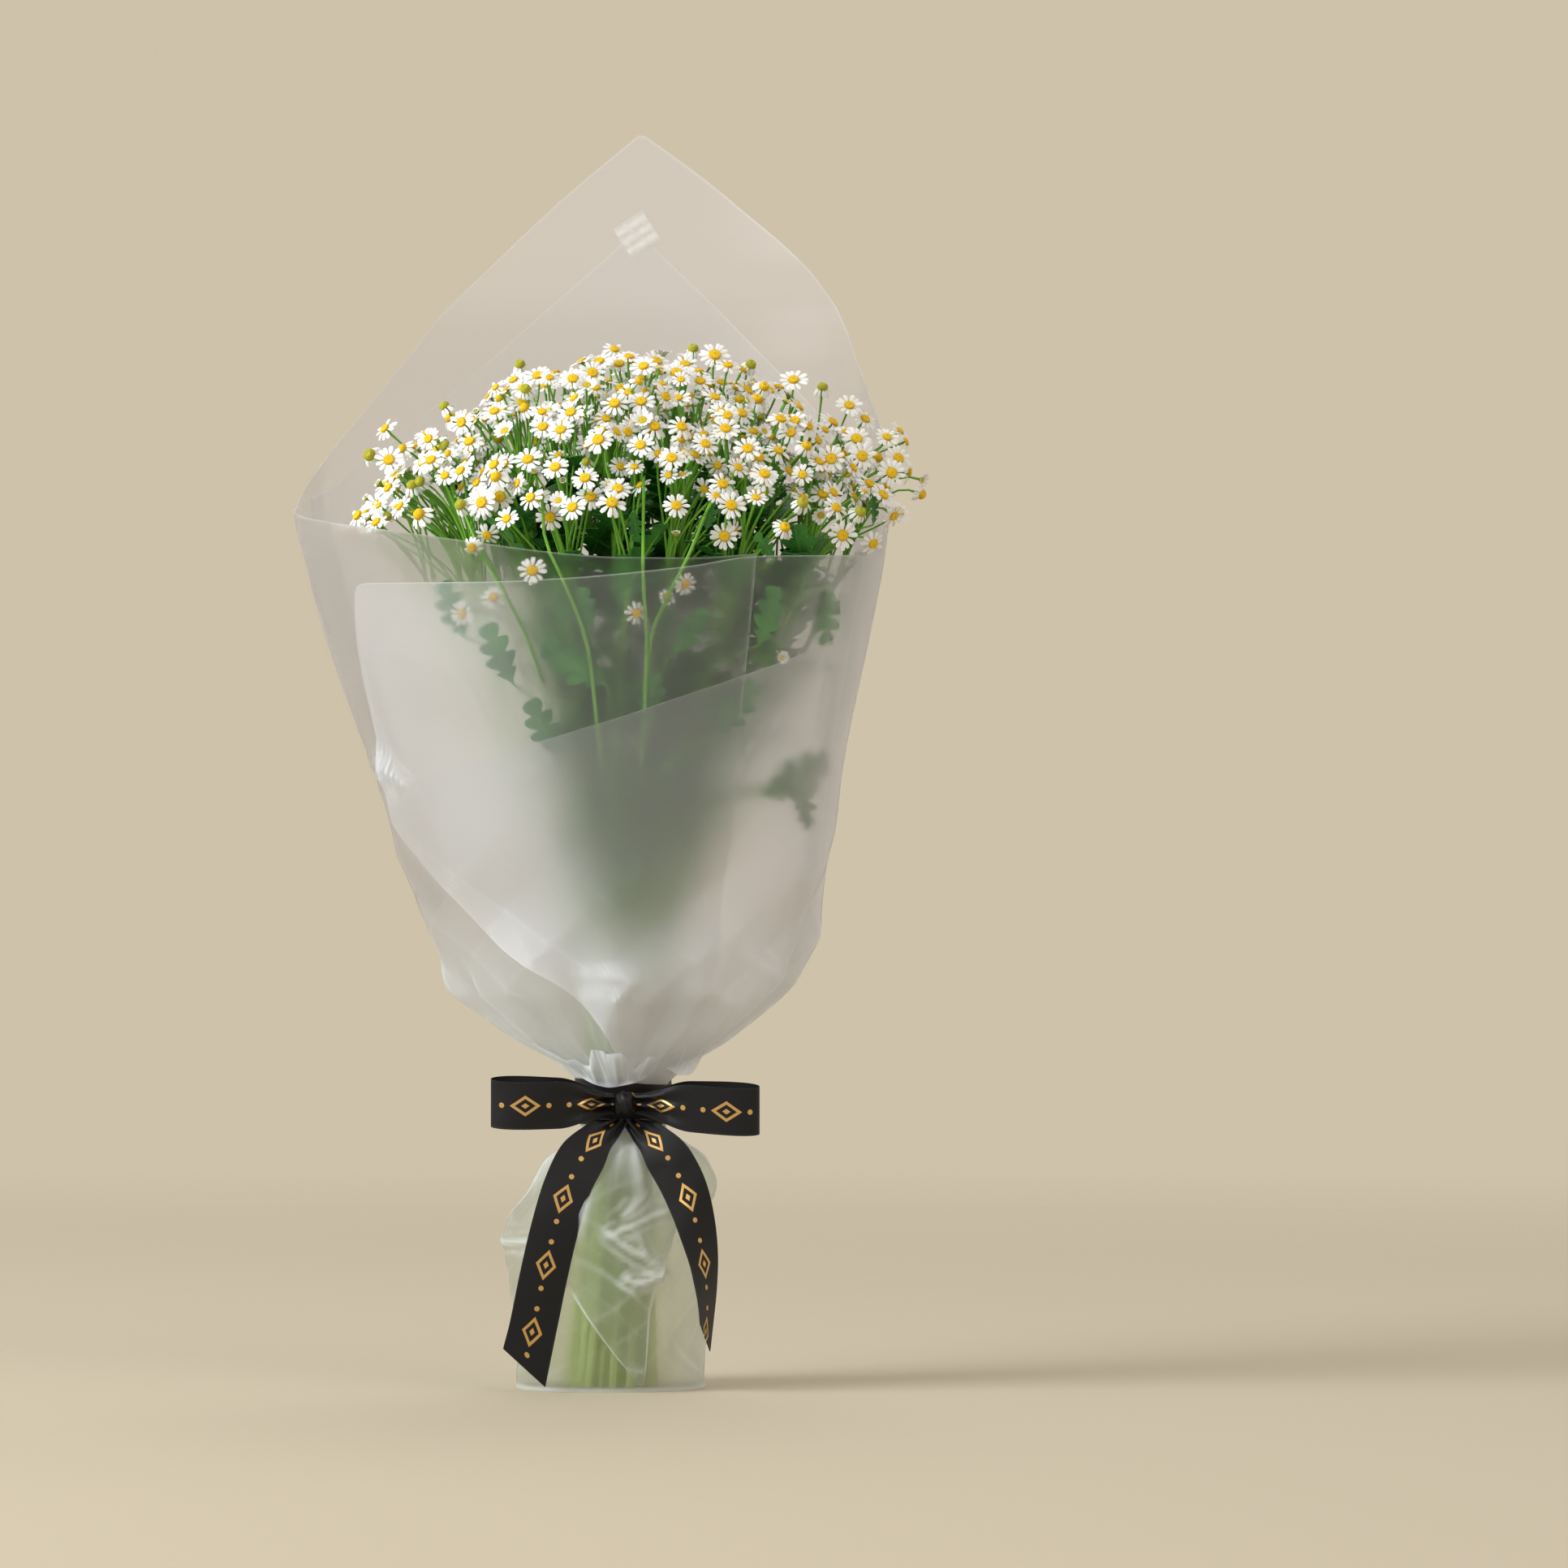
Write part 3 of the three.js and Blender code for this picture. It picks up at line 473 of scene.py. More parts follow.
def satin_finish(tree):
    """Black satin with fine crosswise yarns, bound edges and small gold foil lozenges and dots."""
    across, along = uv_of(tree)
    yarn = (along * 9000.0).math("SINE")
    pile = noise(tree, 3000, detail=2)
    edge = across.step(0.05, 0.0) + across.step(0.95, 1.0)
    across_mm = abs(across - 0.5) * float(RIBBON_WIDTH)
    along_mm = abs((along / (FOIL_PITCH * MM)).math("FRACT") - 0.5) * FOIL_PITCH
    diamond = across_mm * 1.5 + along_mm
    dot_mm = along_mm - 12.5
    dot = (across_mm * across_mm + dot_mm * dot_mm).step(2.1, 1.6)
    frame_and_core = diamond.step(8.3, 8.0) * diamond.step(5.4, 5.7) + dot + diamond.step(2.3, 2.0)
    foil = frame_and_core.math("MINIMUM", 1.0)
    cloth = mixed(tree, edge * 0.5, COLORS["satin"], COLORS["satin_edge"])
    height = yarn * (1 - foil) * 0.4 + pile * 0.3 + edge * 2.0 + foil
    return principled(
        tree, base_color=mixed(tree, foil, cloth, COLORS["gold"]), metallic=foil * 0.95,
        roughness=0.42 - foil * 0.14 + pile * 0.06, specular_ior_level=0.28, anisotropic=0.35,
        normal=bump(tree, height, 0.00006, 0.6),
    )


def twine_finish(tree):
    """Jute: sand-coloured fibres wound askew."""
    fibres = noise(tree, 1.0, place_of(tree, (900, 900, 2600)), 4, 0.7)
    color = mixed(tree, fibres, COLORS["jute_dark"], COLORS["jute"])
    worn = mixed(tree, noise(tree, 120) * 0.4, color, COLORS["jute_worn"])
    return principled(tree, base_color=worn, roughness=0.9, normal=bump(tree, fibres, 0.0004, 0.9))


def tape_finish(tree):
    """Clear glossy tape with a few trapped bubbles."""
    bubbles = cells(tree, 380.0)
    color = mixed(tree, bubbles.step(0.25, 0.0), COLORS["tape"], COLORS["tape_bubbles"])
    return principled(
        tree, base_color=color, roughness=0.12, ior=1.45, transmission_weight=0.7, alpha=0.8,
        normal=bump(tree, noise(tree, 160) + bubbles * 0.3, 0.0004, 0.5),
    )


def floor_finish(tree, color, reach_m):
    """A pale matt floor that fades out into the backdrop."""
    place = place_of(tree)
    grain = noise(tree, 700, place, 4)
    distance = add_node(tree, "ShaderNodeVectorMath", {"operation": "LENGTH"}, {0: place}, 1)
    shade = mixed(tree, grain * 0.06, color, tuple(c * 0.8 for c in color))
    return principled(
        tree, base_color=shade, roughness=0.8, specular_ior_level=0.2,
        alpha=distance.step(reach_m, reach_m * 0.35), normal=bump(tree, grain, 0.0001, 0.15),
    )


# ---- objects ----
def deselect_all():
    if bpy.context.object and bpy.context.object.mode != "OBJECT":
        bpy.ops.object.mode_set(mode="OBJECT")
    bpy.ops.object.select_all(action="DESELECT")


def make_active(thing):
    deselect_all()
    thing.select_set(True)
    bpy.context.view_layer.objects.active = thing


def apply_modifiers(thing):
    make_active(thing)
    for modifier in list(thing.modifiers):
        bpy.ops.object.modifier_apply(modifier=modifier.name)


def linked(name, data):
    """A new object in the scene."""
    made = bpy.data.objects.new(name, data)
    bpy.context.collection.objects.link(made)
    return made


def smooth(degrees):
    """Shades the active object smooth, but for edges sharper than an angle."""
    bpy.ops.object.shade_smooth_by_angle(angle=math.radians(degrees))


def own_place(thing):
    """Moves an object's place into its mesh, so that the object itself sits at the origin, unturned."""
    make_active(thing)
    bpy.ops.object.transform_apply(location=True, rotation=True, scale=True)


def joined(name, things):
    """One object of several, at the origin."""
    deselect_all()
    for thing in things:
        thing.select_set(True)
    bpy.context.view_layer.objects.active = things[0]
    bpy.ops.object.join()
    things[0].name = name
    things[0].data.name = name
    own_place(things[0])
    return things[0]


def select_vertices(thing, test):
    """Leaves edit mode, selects the vertices whose place passes the test, and goes back into it."""
    bpy.ops.object.mode_set(mode="EDIT")
    bpy.ops.mesh.select_mode(type="VERT")
    bpy.ops.mesh.select_all(action="DESELECT")
    bpy.ops.object.mode_set(mode="OBJECT")
    for vertex in thing.data.vertices:
        vertex.select = test(vertex.co)
    bpy.ops.object.mode_set(mode="EDIT")


def paint_uv(thing, uv_at):
    """Gives each corner of each face the UV that uv_at returns for its vertex's place."""
    layer = thing.data.uv_layers.get("UVMap") or thing.data.uv_layers.new(name="UVMap")
    for loop in thing.data.loops:
        layer.data[loop.index].uv = uv_at(thing.data.vertices[loop.vertex_index].co)


def grid_piece(name, points, closed_across=False, closed_along=False, uv=None, crease=None):
    """A surface through a grid of points, [rows, columns, 3] in millimetres."""
    rows, columns = points.shape[:2]
    row = np.arange(rows if closed_along else rows - 1)
    column = np.arange(columns if closed_across else columns - 1)
    i, j = np.meshgrid(row, column, indexing="ij")
    up, over = (i + 1) % rows, (j + 1) % columns
    faces = np.stack([i * columns + j, i * columns + over, up * columns + over, up * columns + j], -1)
    mesh = bpy.data.meshes.new(name)
    mesh.from_pydata((points.reshape(-1, 3) * MM).tolist(), [], faces.reshape(-1, 4).tolist())
    if uv is not None:
        layer = mesh.uv_layers.new(name="UVMap")
        wide = np.stack([uv[0][j], uv[0][j + 1], uv[0][j + 1], uv[0][j]], -1)
        tall = np.stack([uv[1][i], uv[1][i], uv[1][i + 1], uv[1][i + 1]], -1)
        layer.data.foreach_set("uv", np.stack([wide, tall], -1).astype(np.float32).ravel())
    if crease is not None:
        layer = mesh.attributes.new("crease", "FLOAT", "POINT")
        layer.data.foreach_set("value", np.clip(crease, 0, 1).astype(np.float32).ravel())
    mesh.update()
    return linked(name, mesh)


def thicken(thing, thickness, offset=0.0, smooth_angle=40):
    """Gives a surface its thickness, on both sides where offset is 0 and inwards where it is -1."""
    solid = thing.modifiers.new("Solidify", "SOLIDIFY")
    solid.thickness = thickness * MM
    solid.offset = offset
    solid.use_even_offset = False
    apply_modifiers(thing)
    make_active(thing)
    smooth(smooth_angle)


def dress(thing, finishes, nodes=()):
    """Gives a finished piece its materials, its body and the nodes it stands for."""
    thing.data.materials.clear()
    for finish in finishes:
        thing.data.materials.append(finish)
    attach(thing, "root")
    if nodes:
        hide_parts(*nodes)


# ---- the film's shape ----
DRAPE_PROFILE = Profile(DRAPE)
BAG_PROFILE = Profile(BAG)


def triangle(x):
    """A wave of straight slopes from -1 to 1, which folds as a crease does."""
    return 4 * np.abs(x - np.floor(x + 0.5)) - 1


def waves(rows, turn, z):
    """A sum of creased waves. Each row has its height, its count round the turn, its shift and its rise in z
    for one more wave."""
    return sum(height * triangle(count * turn + shift + z / rise) for height, count, shift, rise in rows)


def folds_along(ridges, x, z):
    """How far sharp folds push a surface out. Each row has its two ends as x and z, its half-width and its
    height."""
    push = np.zeros(np.broadcast(x, z).shape)
    for x1, z1, x2, z2, half_width, height in ridges:
        length = math.hypot(x2 - x1, z2 - z1)
        along = ((x - x1) * (x2 - x1) + (z - z1) * (z2 - z1)) / length**2
        away = np.abs((x - x1) * (z2 - z1) - (z - z1) * (x2 - x1)) / length
        past = np.maximum(0, np.abs(along - 0.5) - 0.5) * length
        ends = smoothstep(along, -0.1, 0.25) * (1 - smoothstep(along, 0.75, 1.1))
        push += height * np.maximum(0, 1 - np.hypot(away, past) / half_width) * (0.25 + 0.75 * ends)
    return push


# Folds of the wrap and the foot bag that stand out at the front, as rows for folds_along.
WRAP_RIDGES = [
    (-21, 221, 7.5, 218.5, 6, 2.0), (7.5, 218.5, -4, 203, 5, 2.6), (-4, 203, -7, 190, 7, 1.6),
    (-36, 186, -24, 175, 6, 2.6), (-62, 195, -42, 198, 7, 2.2), (-42, 198, -44, 183, 6, 1.8),
    (12, 177, -0.4, 196, 7, 1.8), (20, 183, 34, 192, 6, 1.8), (-128, 336, -118, 318, 8, 2.6),
    (-122, 330, -108, 318, 6, 2.0), (-112, 262, -86, 232, 10, 2.2), (88, 214, 62, 232, 9, 2.0),
    (60, 200, 36, 214, 8, 1.8), (-10, 250, 20, 176, 16, 1.6), (-60, 260, -22, 180, 14, 1.8),
    (70, 262, 26, 184, 14, 1.6), (-128, 392, -60, 372, 30, 2.0), (30, 300, 96, 330, 26, 1.6),
]
BAG_RIDGES = [
    (-6.8, 83.2, 25.9, 98.8, 5, 2.6), (-6.8, 83.2, 11.5, 69.7, 5, 2.6), (11.5, 69.7, 21.9, 63.3, 4, 2.2),
    (21.9, 63.3, 7.5, 57, 4, 2.4), (7.5, 57, 0.4, 61, 4, 1.6), (11.5, 69.7, 6, 84.8, 4, 1.4),
    (-3.6, 89.6, 21.9, 115, 5, 1.5), (6, 137.4, 9.9, 99.2, 5, 1.5), (-5.2, 140.6, -19.5, 83.2, 6, 1.8),
    (-62.6, 76.9, -46, 79.3, 5, 2.2), (-33.9, 139, -51.4, 86.4, 6, 1.8), (-41.9, 126, -59.4, 83, 6, 1.8),
    (25, 70.5, 21.9, 16.3, 9, 1.6), (-30, 80, -40, 20, 12, 1.6), (34, 130, 42, 96, 6, 1.8),
]


def front_x(profile, angle, z):
    """Each point's x at the front half of an outline, and a place far from any ridge at its back half."""
    centre, left, right, _, _ = profile.at(z)
    c, s = np.cos(np.radians(angle)), np.sin(np.radians(angle))
    return np.where(s > 0.1, 1e4, centre + np.where(c > 0, right, left) * c)


WRAP_PLEATS = [(0.030, 13, 0.3, 410), (0.014, 21, 0, -230)]
WRAP_FACETS = [(0.026, 5, 0, 93), (0.022, -7, 0, 71)]
WRAP_BROAD = [(0.005, 4, 0, 310)]
BAG_PLEATS = [(0.045, 13, 0, 300), (0.02, 19, 0, -200)]
BAG_FACETS = [(0.026, 3, 0, 74), (0.020, -5, 0.2, 47), (0.008, 7, 0, 31)]
LEVEL_FOLD = {"z": 578, "half_width": 26, "height": 3.0}  # across the back sheet, above the flowers
TYPICAL_RADIUS = {"wrap": 90, "bag": 36}  # turns a ridge's height into a share of the radius


def wrap_folds(angle, z):
    """How far folds push the wrap out, as a share of its radius: pleats at the waist, soft facets above."""
    turn = angle / 360
    gathered = smoothstep(z, 160, 172) * (1 - smoothstep(z, 180, 250))
    crumpled = smoothstep(z, 168, 190) * (1 - smoothstep(z, 225, 330))
    taut = smoothstep(z, 200, 330)
    pleats = 0.036 * np.cos(8 * 2 * np.pi * turn) + waves(WRAP_PLEATS, turn, z)
    broad = 0.007 * np.sin(3 * 2 * np.pi * turn + z / 88) + waves(WRAP_BROAD, turn, z)
    ridges = folds_along(WRAP_RIDGES, front_x(DRAPE_PROFILE, angle, z), z)
    off_fold = np.abs(z - LEVEL_FOLD["z"]) / LEVEL_FOLD["half_width"]
    behind = smoothstep(np.sin(np.radians(angle)), 0.2, 0.6)
    ridges = ridges + behind * LEVEL_FOLD["height"] * np.maximum(0, 1 - off_fold)
    facets = crumpled * waves(WRAP_FACETS, turn, z)
    return gathered * pleats + facets + taut * broad + ridges / TYPICAL_RADIUS["wrap"]


def bag_folds(angle, z):
    """The same for the foot bag: pleats from its neck, then crumples."""
    turn = angle / 360
    gathered = smoothstep(z, 70, 112) * (1 - smoothstep(z, 128, 137))
    crumpled = smoothstep(z, 2, 14) * (1 - smoothstep(z, 112, 134))
    pleats = 0.05 * np.cos(8 * 2 * np.pi * turn) + waves(BAG_PLEATS, turn, z)
    bent = turn + 0.022 * np.sin(z / 13) + 0.03 * np.sin(4 * np.pi * turn + z / 21)
    facets = crumpled * waves(BAG_FACETS, bent, z)
    ridges = folds_along(BAG_RIDGES, front_x(BAG_PROFILE, angle, z), z) * smoothstep(z, 2, 10)
    return gathered * pleats + facets + ridges / TYPICAL_RADIUS["bag"]


def outline(profile, folds, angle, z, offset):
    """Points of a gathered film surface, out from its outline by offset."""
    centre, left, right, front, back = profile.at(z)
    turn = np.radians(angle)
    c, s = np.cos(turn), np.sin(turn)
    swell = 1 + folds(angle, z)
    x = centre + (np.where(c > 0, right, left) * swell + offset) * c
    y = (np.where(s > 0, back, front) * swell + offset) * s
    return np.stack([x, y, z], -1)


SHARPNESS = {"least": 0.03, "span": 0.22}  # radians a millimetre


def crease_of(points):
    """How sharply a grid surface is bent at each point, from 0 on a smooth stretch to 1 on a fold."""
    along, across = np.gradient(points, axis=0), np.gradient(points, axis=1)
    normal = np.cross(along, across)
    normal /= np.linalg.norm(normal, axis=-1, keepdims=True) + 1e-9
    rate = np.zeros(points.shape[:2])
    for axis, step in ((0, along), (1, across)):
        turned = np.linalg.norm(np.gradient(normal, axis=axis), axis=-1)
        rate = np.maximum(rate, turned / (np.linalg.norm(step, axis=-1) + 1e-3))
    return np.clip((rate - SHARPNESS["least"]) / SHARPNESS["span"], 0, 1)


# ---- where the flowers are ----
GOLDEN_ANGLE = math.pi * (3 - math.sqrt(5))


def seat_of(i):
    """A spray's place in the unit disc, on a spiral as a sunflower's seeds have."""
    r, turn = math.sqrt((i + 0.5) / SPRAYS), i * GOLDEN_ANGLE
    return r * math.cos(turn), r * math.sin(turn)


SEATS = [seat_of(i) for i in range(SPRAYS)]


def bunch_shift(z):
    """How far to the right the bunch's middle is above the waist."""
    return DOME["shift"] * float(smoothstep(z, WAIST_Z, TWIST_TOP))


def in_bunch(seat, z):
    """A point of the unit disc at height z. All stems follow the same map, so they never cross."""
    u, v = seat
    half_width, half_depth = look_up(BUNCH, z)
    turn = TWIST * min(0, z / TWIST_TOP - 1)
    if z < WAIST_Z:
        shift = (1 - z / WAIST_Z) * BAG[0][1]
    else:
        shift = bunch_shift(z)
    return np.array([
        shift + half_width * (u * math.cos(turn) - v * math.sin(turn)),
        half_depth * (u * math.sin(turn) + v * math.cos(turn)),
        z,
    ])


def dome_height(x, y):
    share = math.hypot((x - DOME["shift"]) / DOME["half_width"], y / DOME["half_depth"])
    return DOME["top"] - DOME["fall"] * share ** DOME["power"]


SEATS_ON_DOME = np.array([in_bunch(seat, DOME["top"]) for seat in SEATS])
STEM_TOPS = [dome_height(x, y) - STEM_TOP for x, y, _ in SEATS_ON_DOME]


def nearest_seat(x, y):
    return int(np.argmin(np.hypot(SEATS_ON_DOME[:, 0] - x, SEATS_ON_DOME[:, 1] - y)))


def on_stem(i, z):
    """A point of a main stem, which is straight in its upper part."""
    low, top = STRAIGHT_ABOVE, STEM_TOPS[i]
    if z <= low:
        return in_bunch(SEATS[i], z)
    start, end = in_bunch(SEATS[i], low), in_bunch(SEATS[i], top)
    return start + (end - start) * ((z - low) / (top - low))


def unit(vector):
    return vector / np.linalg.norm(vector)


def head_at(random, depth):
    """One throw of a flower head onto the dome, with the root of the stalk that carries it."""
    r, angle = math.sqrt(next(random)), 2 * math.pi * next(random)
    x = DOME["shift"] + DOME["half_width"] * r * math.cos(angle)
    y = DOME["half_depth"] * r * math.sin(angle)
    centre = np.array([x, y, dome_height(x, y) - depth * next(random)])
    facing = unit(np.array([
        1.5 * (x - DOME["shift"]) / DOME["half_width"] + between(-0.45, 0.45, random),
        1.3 * y / DOME["half_depth"] - 0.5 + between(-0.35, 0.35, random),
        1,
    ]))
    seat = nearest_seat(x, y)
    root_z = min(STEM_TOPS[seat] - 3, centre[2] - STALK["shortest"] - STALK["spread"] * next(random))
    root = on_stem(seat, root_z)
    spin = 2 * math.pi * next(random)
    return {"centre": centre, "facing": facing, "seat": seat, "root": root, "spin": spin}


def distance_to_stalks(points, roots, centres):
    """How far points are from straight stalks, each from its root to the middle of its head."""
    along = centres - roots
    t = np.clip(np.sum((points - roots) * along, -1) / np.sum(along * along, -1), 0, 1)
    return np.linalg.norm(points - roots - t[..., None] * along, axis=-1)


def peak_height(degrees, left, right):
    share = math.cos(math.radians(degrees))
    return look_up(right if share > 0 else left, abs(share))[0]


def back_sheet_edge(degrees):
    if degrees < 0:
        return look_up(RIGHT_RIM, degrees)[0]
    if degrees > 180:
        return look_up(BACK_SHEET_FRONT, degrees)[0]
    return peak_height(degrees, PEAK_LEFT, PEAK_RIGHT)


def rim_height(degrees):
    """The height of the solid film's highest edge, which runs straight from one column to the next."""
    turned = degrees + 360 if degrees < -SOLID_COLUMN else degrees
    column = math.floor(turned / SOLID_COLUMN) * SOLID_COLUMN
    low, high = [
        look_up(FRONT_TOP, angle)[0] if angle > 300 else back_sheet_edge(angle)
        for angle in (column, column + SOLID_COLUMN)
    ]
    return low + (high - low) * (turned - column) / SOLID_COLUMN


def clear_of_film(point, radius, gap=3.5):
    """True where a ball round a point is inside the film or above its edge."""
    centre, left, right, front, back = look_up(WRAP, point[2])
    width = right if point[0] > centre else left
    depth = back if point[1] > 0 else front
    across, along = (point[0] - centre) / width, point[1] / depth
    if (1 - math.hypot(across, along)) * min(width, depth) > radius + gap:
        return True
    return point[2] - radius > rim_height(math.degrees(math.atan2(along, across))) + 2


def in_film(points, gap=0.8):
    """True where each point is inside the shown film by a gap, or above its edge."""
    x, y, z = np.asarray(points, float).T
    centre, left, right, front, back = DRAPE_PROFILE.at(z)
    width, depth = np.where(x > centre, right, left), np.where(y > 0, back, front)
    across, along = (x - centre) / width, y / depth
    angle = np.degrees(np.arctan2(along, across))
    inside = (1 + wrap_folds(angle % 360, z) - np.hypot(across, along)) * np.minimum(width, depth)
    return all(inner > gap or up > rim_height(at) + 2 for inner, up, at in zip(inside, z, angle))


TUCK = {"start": 1.12, "step": 0.994, "steps": 90}


def tucked(place, points_from):
    """A place brought to where the points that go with it just touch the film from inside."""
    place = place * np.array([TUCK["start"], TUCK["start"], 1])
    for _ in range(TUCK["steps"]):
        if in_film(points_from(place)):
            break
        place = place * np.array([TUCK["step"], TUCK["step"], 1])
    return place


SHOWN_HEAD = 7.5  # radius


def rim_of(centre, facing, radius):
    """Points round a flower head, and one at the top of its middle."""
    side = unit(np.cross(facing, (0.3, 0.2, 0.93)))
    other = np.cross(facing, side)
    turns = np.linspace(0, 2 * np.pi, 8, endpoint=False)
    ring = [centre + radius * (side * math.cos(turn) + other * math.sin(turn)) for turn in turns]
    return np.array(ring + [centre + facing * 2.2])


def fits_with(head, others):
    """True where a head and its stalk clear every head and stalk before it, as they do in the solids."""
    centres, facings, roots, seats = others
    if len(centres) == 0:
        return True
    apart = centres - head["centre"]
    distance = np.linalg.norm(apart, axis=1)
    alike = np.minimum(1, facings @ head["facing"])
    tilt = np.sqrt(1 - alike**2)
    needed = SOLID_HEAD["radius"] * tilt + SOLID_HEAD["dome"] + SOLID_HEAD["base"] + SOLID_GAPS["stacked"]
    stacked = (np.abs(apart @ head["facing"]) > needed) | (np.abs(np.sum(apart * facings, 1)) > needed)
    if np.any((distance <= 2 * SOLID_HEAD["radius"] + SOLID_GAPS["rims"]) & ~stacked):
        return False
    reach = SOLID_HEAD["radius"] + STALK["top"] + SOLID_GAPS["head_to_stalk"]
    if np.any(distance_to_stalks(head["centre"], roots, centres) < reach):
        return False
    if np.any(distance_to_stalks(centres, head["root"], head["centre"]) < reach):
        return False
    other_seats = seats != head["seat"]
    for t in (0, 0.25, 0.5, 0.75):
        point = head["root"] + (head["centre"] - head["root"]) * t
        close = distance_to_stalks(point, roots, centres) <= 2 * STALK["top"] + SOLID_GAPS["stalks"]
        if np.any(close & other_seats):
            return False
    return True


MOST_THROWS = 9000
SOLID_SEED, EXTRA_SEED, TEMPLATE_SEED = 11, 29, 40
WITHIN_FILM = 445  # heads below this height are brought inside the film
EXTRA = {
    "heads": 340, "depth": 40, "apart": 7.0, "lowest": 466, "tilt": 0.55, "drop": (30, 90), "room": (7, 2),
}


def solid_heads():
    """The heads that the solids have, found by the same throws."""
    random = random_from(SOLID_SEED)
    heads = []
    arrays = [np.zeros((0, 3)), np.zeros((0, 3)), np.zeros((0, 3)), np.zeros(0, int)]
    for _ in range(MOST_THROWS):
        if len(heads) == SOLID_HEADS:
            break
        head = head_at(random, DOME["depth"])
        stalk = [head["root"] + (head["centre"] - head["root"]) * t for t in (0.3, 0.5, 0.7, 0.85)]
        if not all(clear_of_film(point, STALK["top"]) for point in stalk):
            continue
        if not clear_of_film(head["centre"], SOLID_HEAD["radius"]):
            continue
        if fits_with(head, arrays):
            heads.append(head)
            arrays = [
                np.vstack([arrays[0], head["centre"]]), np.vstack([arrays[1], head["facing"]]),
                np.vstack([arrays[2], head["root"]]), np.append(arrays[3], head["seat"]),
            ]
    return heads


# Heads that stand out in the photograph: place, facing to the right and up in degrees, size and kind.
STRAYS = [
    # left edge
    (-123, -28, 491, -10, 20, 1.0, "open"), (-133.7, -18, 494, -25, 15, 1.05, "faded"),
    (-125.7, -12, 508, -50, 35, 0.9, "sparse"), (-129, -30, 467, -30, 5, 0.95, "open"),
    (-123, -40, 461, -40, -20, 0.8, "faded"), (-135, -20, 471, -60, 30, 0.9, "bud"),
    (-116, -20, 497, -60, 20, 0.9, "bent_back"), (-117, -36, 482, -60, 40, 0.8, "bud"),
    (-105.6, -48, 479, -40, 10, 0.9, "faded"), (-94, -20, 519.5, -70, 50, 0.9, "faded"),
    (-102, -30, 502, -30, 20, 0.85, "open"),
    # right edge
    (145.7, -18, 492, 35, 25, 1.05, "open"), (140, 0, 504, 20, 40, 0.85, "open"),
    (150, 6, 502, 75, 20, 0.8, "sparse"), (151.5, -8, 485, 80, -10, 0.9, "sparse"),
    (158, -14, 481, 60, -20, 0.75, "half_open"), (158, -24, 473, 75, -25, 0.85, "bent_back"),
    (143, -45, 461, 40, -35, 0.85, "open"), (116, -66, 450, 15, 5, 1.0, "open"),
    (132, -58, 446, 35, -30, 0.9, "sparse"), (126.5, -36, 492.6, 15, 15, 1.0, "open"),
    (123.7, -26, 502, 10, 30, 1.0, "full"), (142, -32, 484, 15, 10, 1.0, "open"),
    (110, -56, 490.5, 10, 10, 1.0, "open"), (88, -72, 452.6, 30, -40, 0.8, "half_open"),
    (104.7, -66, 460.7, 0, -30, 0.8, "half_open"), (120, 4, 521, 15, 40, 0.95, "open"),
    (128.4, 8, 514, 40, 40, 0.9, "full"), (147, 10, 507.7, 60, 40, 0.8, "open"),
    # low at the front
    (54.3, -86, 449, 5, 0, 0.95, "open"), (59, -80, 452, 40, -10, 0.8, "sparse"),
    (29.2, -86, 449.7, 0, 60, 1.0, "bud"), (58.5, -72, 481, 0, 40, 0.9, "bud"),
    (44, -78, 474, -20, -35, 0.8, "sparse"), (-36.4, -84, 459, 0, -10, 0.95, "open"),
    (-69.4, -76, 450, -15, -35, 0.85, "sparse"), (-72.4, -72, 464.7, -5, 5, 1.0, "open"),
    (-63, -74, 470, 0, 10, 1.0, "full"),
    # just behind the film
    (-43, -91, 430.7, 0, 15, 0.95, "open"), (8.2, -92, 408.6, 10, -10, 0.8, "sparse"),
    (31.9, -92, 423.7, 30, -20, 0.8, "open"), (22.4, -90, 417, 0, 10, 0.8, "faded"),
    (-78.9, -80, 408.6, -20, -10, 0.85, "open"), (-61.6, -84, 417, 0, 10, 0.8, "sparse"),
    (82.8, -72, 386, 30, 0, 0.6, "half_open"), (-72.4, -84, 443, -20, -20, 0.8, "bent_back"),
    # top
    (-4.4, -12, 550, 20, 50, 0.85, "sparse"), (37.2, 0, 551, 0, 60, 0.9, "faded"),
    (48.7, -12, 547, 10, 35, 1.05, "full"), (67.7, 0, 542.6, 30, 40, 0.9, "faded"),
    (90.4, -6, 534, 0, 45, 1.0, "open"), (105.9, 10, 531, 10, 60, 0.9, "faded"),
    (-55, 6, 543, -10, 50, 0.9, "faded"),
]
# Leaves that stand out: the place of their stalk's end, their direction to the right and up in degrees, size.
NAMED_LEAVES = [
    (80, -66, 314, 100, 18, 1.2), (95, -57, 322, 140, -60, 0.75), (100, -52, 424, 60, -70, 0.8),
    (-6, -90, 371, -70, 30, 1.0), (26, -90, 388, 80, 50, 0.7), (6, -76, 462, 60, -80, 0.4),
    (74, -78, 437, -20, 40, 0.42), (-52, -84, 372, -70, 60, 0.85), (48, -86, 345, 70, 40, 0.9),
    (70, -80, 392, 60, 60, 0.8), (-72, -70, 396, -75, 60, 0.8), (-30, -84, 335, -60, 55, 0.8),
    (118, -40, 456, 60, 60, 0.4), (40, -76, 452, 40, 60, 0.4), (-14, -88, 398, -30, 70, 0.6),
    (14, -88, 350, 30, 75, 0.7),
]
